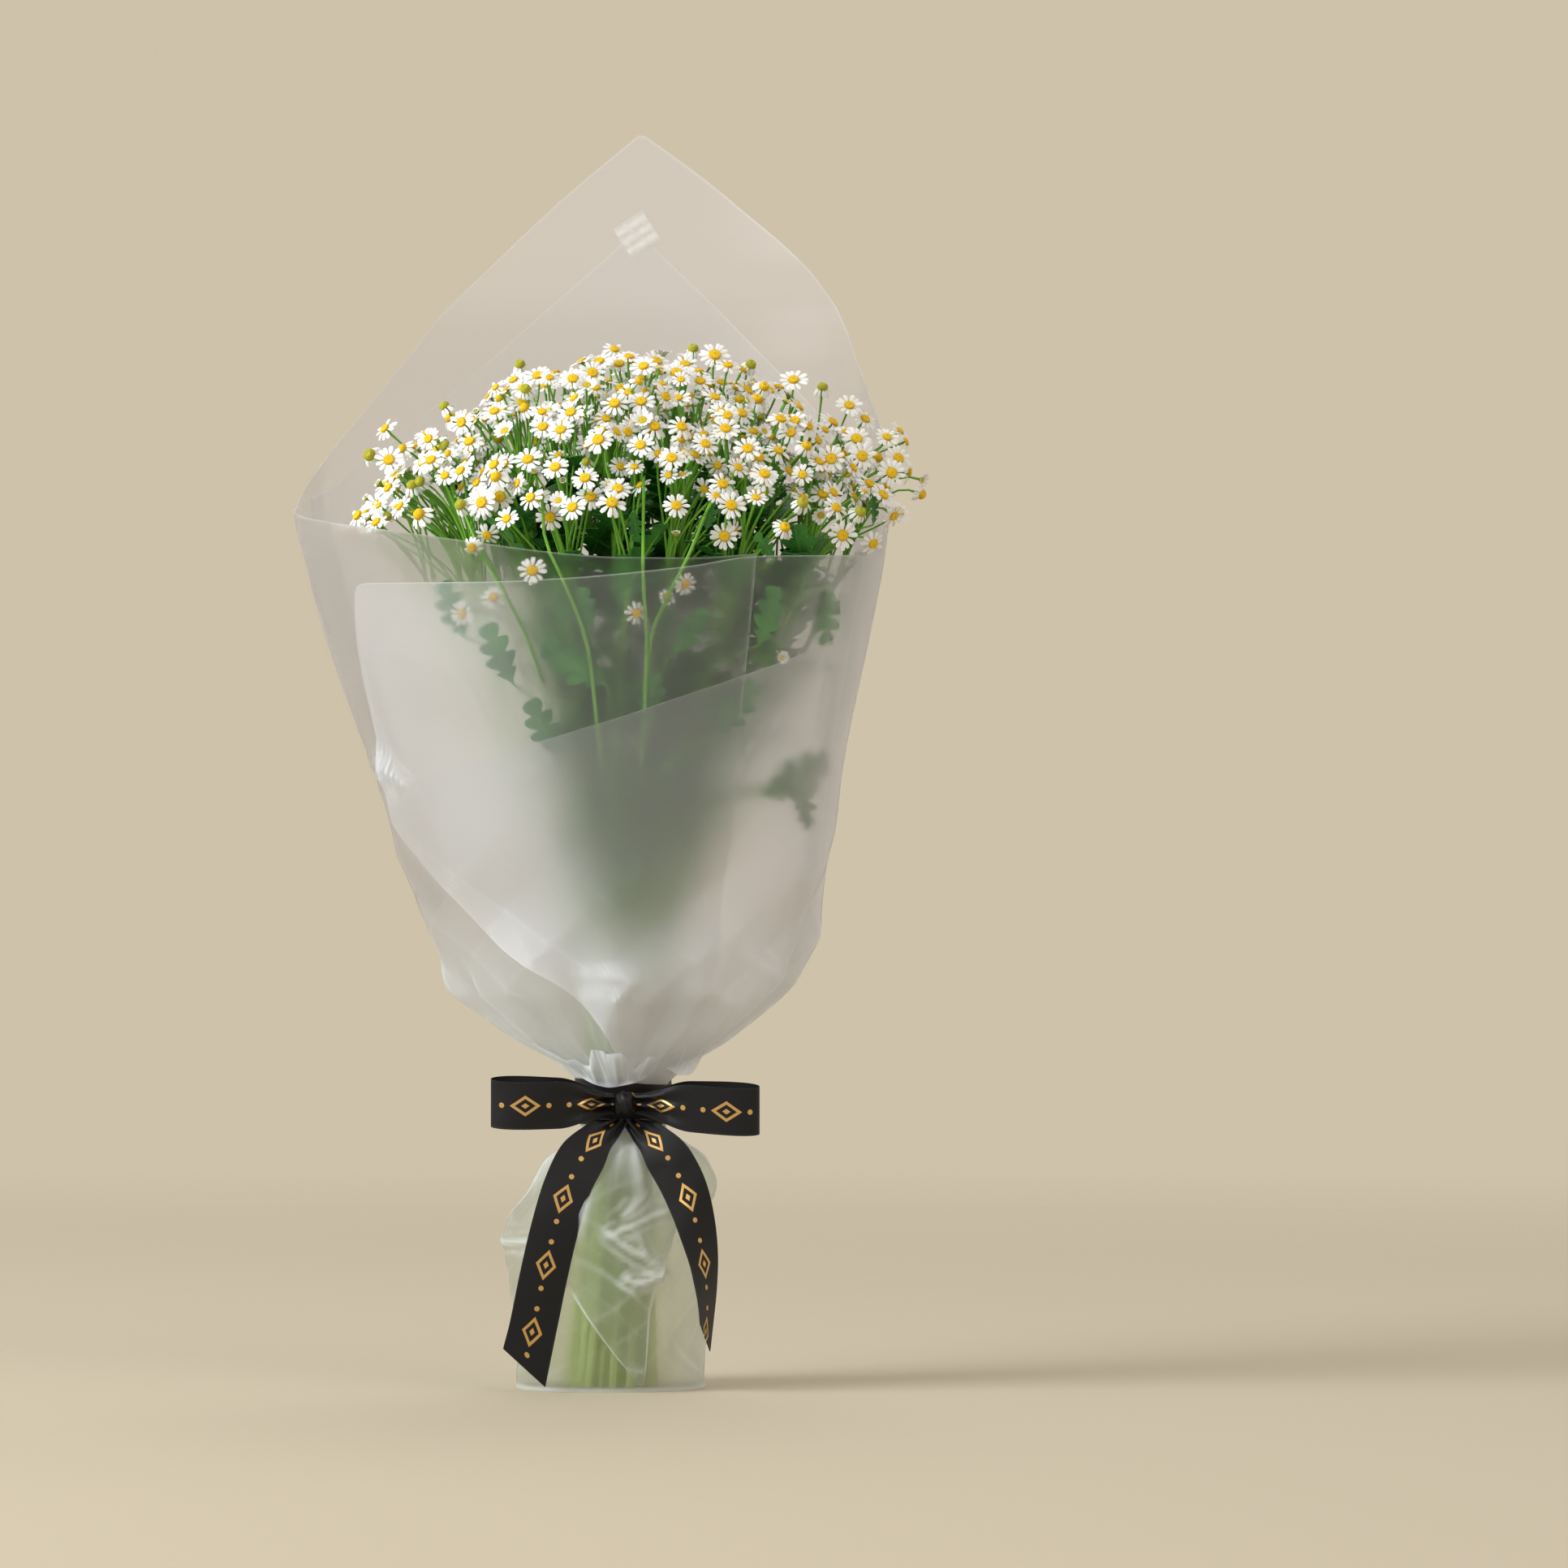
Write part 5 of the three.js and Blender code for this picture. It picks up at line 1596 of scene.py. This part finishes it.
class BUNCH_OT_foot(bpy.types.Operator):
    """Model the crumpled film bag round the cut ends and the corner that hangs in front of it"""

    bl_idname = "bunch.foot"
    bl_label = "Foot film"

    def execute(self, context):
        settings = context.scene.bunch_film
        thickness = settings.thickness / MM
        bag = foot_bag()
        thicken(bag, thickness, -1.0)
        dress(bag, [film_material("foot_film", settings.haze)], ["foot_bag"])
        corner = hanging_corner()
        thicken(corner, thickness)
        dress(corner, [film_material("corner_film", settings.haze)], ["film_hanging_corner"])
        return {"FINISHED"}


FLOOR_RINGS = (0.02, 0.35, 0.7, 0.94)  # shares of the way from the middle of the bag's floor to its rim
BAG_CREASE, CORNER_CREASE, CORNER_EDGE = 1.3, 1.4, 0.8  # how white the folds and the cut edges are


def foot_bag():
    """The bag as one surface: a closed floor, then the skirt up to its neck."""
    angle = np.arange(0, 360, 2.5)
    heights = np.concatenate([[0.0], np.linspace(1.2, BAG[-1][0], 84)])
    angles, z = np.meshgrid(angle, heights)
    wall = outline(BAG_PROFILE, bag_folds, angles, z, 0.0)
    foot = wall[0]
    centre = np.array([BAG[0][1], 0, 0])
    floor = [centre + (foot - centre) * share for share in FLOOR_RINGS]
    points = np.concatenate([np.array(floor), wall])
    crease = crease_of(points) * BAG_CREASE
    bag = grid_piece("foot_bag_film", points, closed_across=True, crease=crease)
    make_active(bag)
    select_vertices(bag, lambda co: math.hypot(co.x - centre[0] * MM, co.y) < 3 * MM and co.z < MM)
    bpy.ops.mesh.edge_face_add()
    bpy.ops.mesh.select_all(action="SELECT")
    bpy.ops.mesh.normals_make_consistent(inside=False)
    bpy.ops.object.mode_set(mode="OBJECT")
    return bag


# The corner's rows from its point up: height, its two edges' angles, and its distance from the bag.
CORNER = [
    (4, 287, 289, 5.5), (32, 264, 293, 5.5), (60, 247, 298, 5.5), (100, 235, 314, 6.5), (118, 230, 316, 6.5),
    (130, 230, 314, 5), (137, 234, 310, 1.2), (149, 240, 302, 1.2),
]


def hanging_corner():
    """A pointed corner of film that hangs in front of the bag."""
    z = np.linspace(CORNER[0][0], CORNER[-1][0], 80)[:, None]
    left, right, stand = Profile(CORNER).at(z)
    share = np.linspace(0, 1, 41)[None, :]
    angles = left + (right - left) * share
    heights = np.broadcast_to(z, angles.shape)
    points = outline(BAG_PROFILE, bag_folds, angles, heights, stand)
    crease = crease_of(points) * CORNER_CREASE
    edges = (0, 1, -2, -1)
    crease[:, edges] = np.maximum(crease[:, edges], CORNER_EDGE)
    return grid_piece("film_corner", points, crease=crease)


# ---- ribbon ----
# Points down each tail's middle: x, y and height, half-width and turn to the side in degrees. The end is its
# place and its half-width's direction.
TAIL_LEFT = [
    (-1.1, -34, 143.5, 5, 0), (-10.6, -38, 136, 8.5, 0), (-20.6, -43, 124, 12.5, 0),
    (-28.6, -48, 108, 12.5, 0), (-34.6, -52, 88, 12.5, 0), (-41.1, -53, 60, 12.5, 0),
    (-45.6, -52, 38, 12.5, 0),
]
TAIL_LEFT_END = ((-51, -50, 13.4), (11.1, 0, -10.1))
TAIL_RIGHT = [
    (4.4, -32.4, 143.5, 5, 0), (14.4, -37, 135, 8.5, 5), (23.9, -43, 124, 12, 10), (32.9, -47, 108, 12.5, 20),
    (39.4, -49, 88, 12.5, 38), (43.9, -49, 64, 12.5, 58), (44.9, -47, 46, 12.5, 70),
]
TAIL_RIGHT_END = ((43.9, -45, 29), (2.5, 11, -8))
ACROSS = 13  # points across the ribbon


def strip(name, centres, halves, fold, closed=False):
    """A ribbon through centre points with half-width vectors. fold(along, across) moves points off it."""
    across = np.linspace(-1, 1, ACROSS)
    points = centres[:, None, :] + halves[:, None, :] * across[None, :, None]
    points = points + fold(np.linspace(0, 1, len(centres))[:, None], across[None, :])
    steps = np.linalg.norm(np.diff(centres, axis=0), axis=1)
    along = np.concatenate([[0], np.cumsum(steps)])
    if closed:
        along = np.append(along, along[-1] + np.linalg.norm(centres[0] - centres[-1]))
    uv = (np.linspace(0, 1, ACROSS), along * MM)
    return grid_piece(name, points, closed_along=closed, uv=uv)


def outwards(y):
    """Moves along Y alone."""
    return np.stack([0 * y, y, 0 * y], -1)


def upright(half_width):
    """Half-width vectors that stand upright."""
    return np.stack([0 * half_width, 0 * half_width, half_width], -1)


def tail_strip(name, rows, end):
    """A hanging tail, smooth through its rows, cut off slantwise at its end."""
    centres, halves = [], []
    for i, (x, y, z, half_width, turn) in enumerate(rows):
        a, b = rows[max(0, i - 1)], rows[min(len(rows) - 1, i + 1)]
        slope = 0 if i == 0 else math.atan2(b[0] - a[0], a[2] - b[2])
        half = np.array([math.cos(slope), math.tan(math.radians(turn)), math.sin(slope)])
        centres.append(np.array([x, y, z], float))
        halves.append(unit(half) * half_width)
    centres.append(np.array(end[0], float))
    halves.append(np.array(end[1], float))
    place = np.arange(len(centres), dtype=float)
    fine = np.linspace(0, len(centres) - 1, 90)
    curve = Profile(np.column_stack([place, np.array(centres), np.array(halves)])).at(fine)
    values = np.stack(curve, -1)

    def fold(along, across):
        pinch = 1 - smoothstep(along, 0.0, 0.22)
        gather = 2.2 * pinch * np.cos(across * 2.6 * np.pi)
        curl = 0.8 * smoothstep(along, 0.2, 0.5) * across**2 + 0.5 * np.sin(along * 9 + across)
        return outwards(gather * (1 - along) + curl)

    return strip(name, values[:, :3], values[:, 3:], fold)


def loop_strip(name, side, reach, end_drop):
    """A bow loop as a teardrop in plan, gathered where it goes into the knot."""
    turn = np.linspace(0, 2 * np.pi, 120)
    start = KNOT["x"] + side * KNOT["half_width"] * 0.7
    out = (1 - np.cos(turn)) / 2
    x = start + side * out * (reach - abs(start))
    y = KNOT["y"] - LOOP["swing"] * out + LOOP["depth"] / 2 * np.sin(turn) * np.sqrt(out)
    z = KNOT["z"] - end_drop * out + LOOP["lean"] * np.sin(turn) * np.sqrt(out) * out
    spread = LOOP["pinched"] + (1 - LOOP["pinched"]) * smoothstep(out, 0, 0.45)
    centres = np.stack([x, y, z], -1)
    halves = upright(RIBBON_WIDTH / 2 * spread)

    def fold(along, across):
        reach_out = (1 - np.cos(along * 2 * np.pi)) / 2
        pinch = 1 - smoothstep(reach_out, 0.0, 0.5)
        gather = 2.0 * pinch * np.cos(across * 2.5 * np.pi + 0.6) * np.sign(0.5 - along)
        wave = 0.7 * np.sin(reach_out * 7 + across * 1.3) * smoothstep(reach_out, 0.1, 0.5)
        return outwards(gather + wave)

    return strip(name, centres, halves, fold)


def band_strip():
    """The band round the waist, with slack folds that run round it."""
    turn = np.linspace(0, 2 * np.pi, 144, endpoint=False)
    radius = BAND["radius"]
    centres = np.stack([radius * np.cos(turn), radius * np.sin(turn), 0 * turn + BAND["z"]], -1)
    halves = upright(0 * turn + BAND["half_width"])

    def fold(along, across):
        way = along * 2 * np.pi
        ripple = 0.22 * np.sin(across * 5 + 3 * np.sin(way)) + 0.12 * np.sin(across * 11 + 5 * way)
        return np.stack([ripple * np.cos(way), ripple * np.sin(way), 0 * ripple], -1)

    return strip("satin_band", centres, halves, fold, closed=True)


def knot_wrap():
    """The knot: the ribbon wrapped tight over itself, with folds that fan out from its middle."""
    deselect_all()
    bpy.ops.mesh.primitive_uv_sphere_add(segments=48, ring_count=28, radius=1)
    knot = bpy.context.object
    for vertex in knot.data.vertices:
        x, y, z = vertex.co
        lean = x + 0.18 * z
        waisted = 1 - 0.16 * math.exp(-((z / 0.5) ** 2))
        groove = 0.075 * math.sin(lean * 11 + 0.8 * math.sin(3 * z)) * (1 - 0.5 * z * z)
        vertex.co = Vector((
            KNOT["x"] + KNOT["half_width"] * 0.78 * x * waisted,
            KNOT["y"] + KNOT["half_depth"] * y * (0.9 + groove),
            KNOT["z"] + KNOT["half_height"] * z * (0.82 + 0.05 * math.cos(lean * 9)),
        )) * MM
    knot.name = knot.data.name = "satin_knot"
    paint_uv(knot, lambda co: (0.16 + (co.x / MM - KNOT["x"]) / 200, 0.018 + co.z * 0.01))
    make_active(knot)
    smooth(60)
    return knot


class BUNCH_OT_ribbon(bpy.types.Operator):
    """Model the black satin ribbon: band, knot, two loops and two tails"""

    bl_idname = "bunch.ribbon"
    bl_label = "Satin bow"

    def execute(self, context):
        thickness = context.scene.bunch_ribbon.thickness / MM
        finish = material("black_satin", satin_finish)
        strips = [
            (band_strip(), "ribbon_band", (0.025, 0.162), "stretched"),
            (loop_strip("satin_loop_left", LEFT, LOOP["left_reach"], -1), "bow_loop_left", (0.025, 0.145),
             "gathered"),
            (loop_strip("satin_loop_right", RIGHT, LOOP["right_reach"], 3), "bow_loop_right", (0.025, 0.150),
             "gathered"),
            (tail_strip("satin_tail_left", TAIL_LEFT, TAIL_LEFT_END), "ribbon_tail_left", (0.025, 0.145),
             "hung"),
            (tail_strip("satin_tail_right", TAIL_RIGHT, TAIL_RIGHT_END), "ribbon_tail_right", (0.025, 0.13),
             "hung"),
        ]
        for piece, node, flat, held in strips:
            thicken(piece, thickness)
            dress(piece, [finish], [node])
        knot = knot_wrap()
        dress(knot, [finish], ["ribbon_knot"])
        return {"FINISHED"}


class BUNCH_OT_binding(bpy.types.Operator):
    """Model the turns of twine under the ribbon and the square of clear tape"""

    bl_idname = "bunch.binding"
    bl_label = "Twine and tape"

    def execute(self, context):
        twine = twine_turns()
        dress(twine, [material("jute", twine_finish)], ["binding_twine"])
        patch = tape_patch()
        thicken(patch, TAPE["thick"])
        dress(patch, [material("clear_tape_gloss", tape_finish)], ["clear_tape"])
        return {"FINISHED"}


def twine_turns():
    """Level turns of twine on top of each other, swelled a little along two strands that wind round."""
    turns = []
    deselect_all()
    for i in range(TWINE["turns"]):
        height = TWINE["lowest"] + TWINE["pitch"] * i
        bpy.ops.mesh.primitive_torus_add(
            major_segments=120, minor_segments=8, major_radius=TWINE["radius"] * MM,
            minor_radius=TWINE["half_thick"] * MM, location=(0, 0, height * MM),
        )
        turns.append(bpy.context.object)
    twine = joined("jute_twine", turns)
    half = TWINE["pitch"] / 2
    for vertex in twine.data.vertices:
        around = math.atan2(vertex.co.y, vertex.co.x)
        out = math.hypot(vertex.co.x, vertex.co.y) / MM - TWINE["radius"]
        tilt = math.atan2((vertex.co.z / MM - TWINE["lowest"] + half) % TWINE["pitch"] - half, out)
        swell = 1 + 0.005 * math.cos(2 * tilt + 60 * around)
        vertex.co.x, vertex.co.y = vertex.co.x * swell, vertex.co.y * swell
    smooth(60)
    return twine


def tape_patch():
    """A square of tape set askew over the inner sheet's peak, a little crinkled."""
    low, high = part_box("clear_tape")
    centre = np.array((low + high) / 2) / MM
    side = np.linspace(-TAPE["half_side"], TAPE["half_side"], 25)
    a, b = np.meshgrid(side, side)
    turn = math.radians(TAPE["turn"])
    x = a * math.cos(turn) - b * math.sin(turn)
    z = a * math.sin(turn) + b * math.cos(turn)
    crinkle = 0.35 * np.sin(a * 0.8 + 0.3 * b) + 0.25 * np.sin(b * 1.1)
    y = crinkle + 0.14 * z
    return grid_piece("tape_patch", np.stack([x, y, z], -1) + centre)


class BUNCH_OT_stage(bpy.types.Operator):
    """Set up the floor, the backdrop, the lights and the camera"""

    bl_idname = "bunch.stage"
    bl_label = "Stage"

    def execute(self, context):
        settings = context.scene.bunch_stage
        deselect_all()
        bpy.ops.mesh.primitive_circle_add(vertices=96, radius=FLOOR["radius_m"], fill_type="NGON")
        floor = context.object
        floor.name = "floor"
        color = tuple(settings.floor)
        floor.data.materials.append(
            material("floor_paint", lambda tree: floor_finish(tree, color, FLOOR["reach_m"]))
        )
        backdrop(context.scene, tuple(settings.backdrop))
        for name, row in LAMPS.items():
            lamp(name, *row)
        camera = bpy.data.cameras.new("camera")
        camera.lens = CAMERA["lens"]
        seen = linked("camera", camera)
        seen.location = (CAMERA["x_m"], -settings.camera_distance, CAMERA["z_m"])
        seen.rotation_euler = (math.pi / 2, 0, 0)
        context.scene.camera = seen
        context.scene.view_settings.view_transform = "Standard"
        context.scene.cycles.max_bounces = 28
        context.scene.cycles.diffuse_bounces = 8
        context.scene.cycles.transmission_bounces = 28
        context.scene.cycles.transparent_max_bounces = 32
        return {"FINISHED"}


def backdrop(scene, color):
    """A plain backdrop. It lights the bunch with a paler colour than the camera sees."""
    world = bpy.data.worlds.new("backdrop")
    world.use_nodes = True
    tree = world.node_tree
    tree.nodes.clear()
    seen = add_node(tree, "ShaderNodeLightPath", output="Is Camera Ray")
    shown = mixed(tree, seen, COLORS["backdrop_light"], color)
    surface = add_node(tree, "ShaderNodeBackground", {}, {"Color": shown, "Strength": 1.0})
    add_node(tree, "ShaderNodeOutputWorld", {}, {"Surface": surface})
    scene.world = world


def lamp(name, place, target, size, power, color):
    """A square soft light that faces a target and isn't seen itself. The side one gives no glints either."""
    light = bpy.data.lights.new(name, "AREA")
    light.size = size
    light.energy = power
    light.color = color
    made = linked(name, light)
    made.location = place
    made.visible_camera = False
    made.visible_transmission = made.visible_glossy = name != "side"
    made.rotation_euler = (Vector(target) - Vector(place)).to_track_quat("-Z", "Y").to_euler()


class BUNCH_PT_panel(bpy.types.Panel):
    """The bunch's parts and settings"""

    bl_idname = "BUNCH_PT_panel"
    bl_label = "Bunch of daisies"
    bl_space_type = "VIEW_3D"
    bl_region_type = "UI"
    bl_category = "Daisies"

    def draw(self, context):
        for name in SETTINGS:
            group = getattr(context.scene, name)
            for prop in group.__annotations__:
                self.layout.prop(group, prop)
        for operator in OPERATORS:
            self.layout.operator(operator.bl_idname)


SETTINGS = {
    "bunch_flowers": FlowerSettings, "bunch_film": FilmSettings, "bunch_ribbon": RibbonSettings,
    "bunch_stage": StageSettings,
}
OPERATORS = [
    BUNCH_OT_stage, BUNCH_OT_sprays, BUNCH_OT_film, BUNCH_OT_foot, BUNCH_OT_ribbon, BUNCH_OT_binding,
]


def register():
    for kind in (*SETTINGS.values(), *OPERATORS, BUNCH_PT_panel):
        bpy.utils.register_class(kind)
    for name, kind in SETTINGS.items():
        setattr(bpy.types.Scene, name, PointerProperty(type=kind))


def unregister():
    for name in SETTINGS:
        delattr(bpy.types.Scene, name)
    for kind in (BUNCH_PT_panel, *reversed(OPERATORS), *SETTINGS.values()):
        bpy.utils.unregister_class(kind)


def main():
    register()
    for operator in OPERATORS:
        group, name = operator.bl_idname.split(".")
        getattr(getattr(bpy.ops, group), name)()


if __name__ == "__main__":
    main()
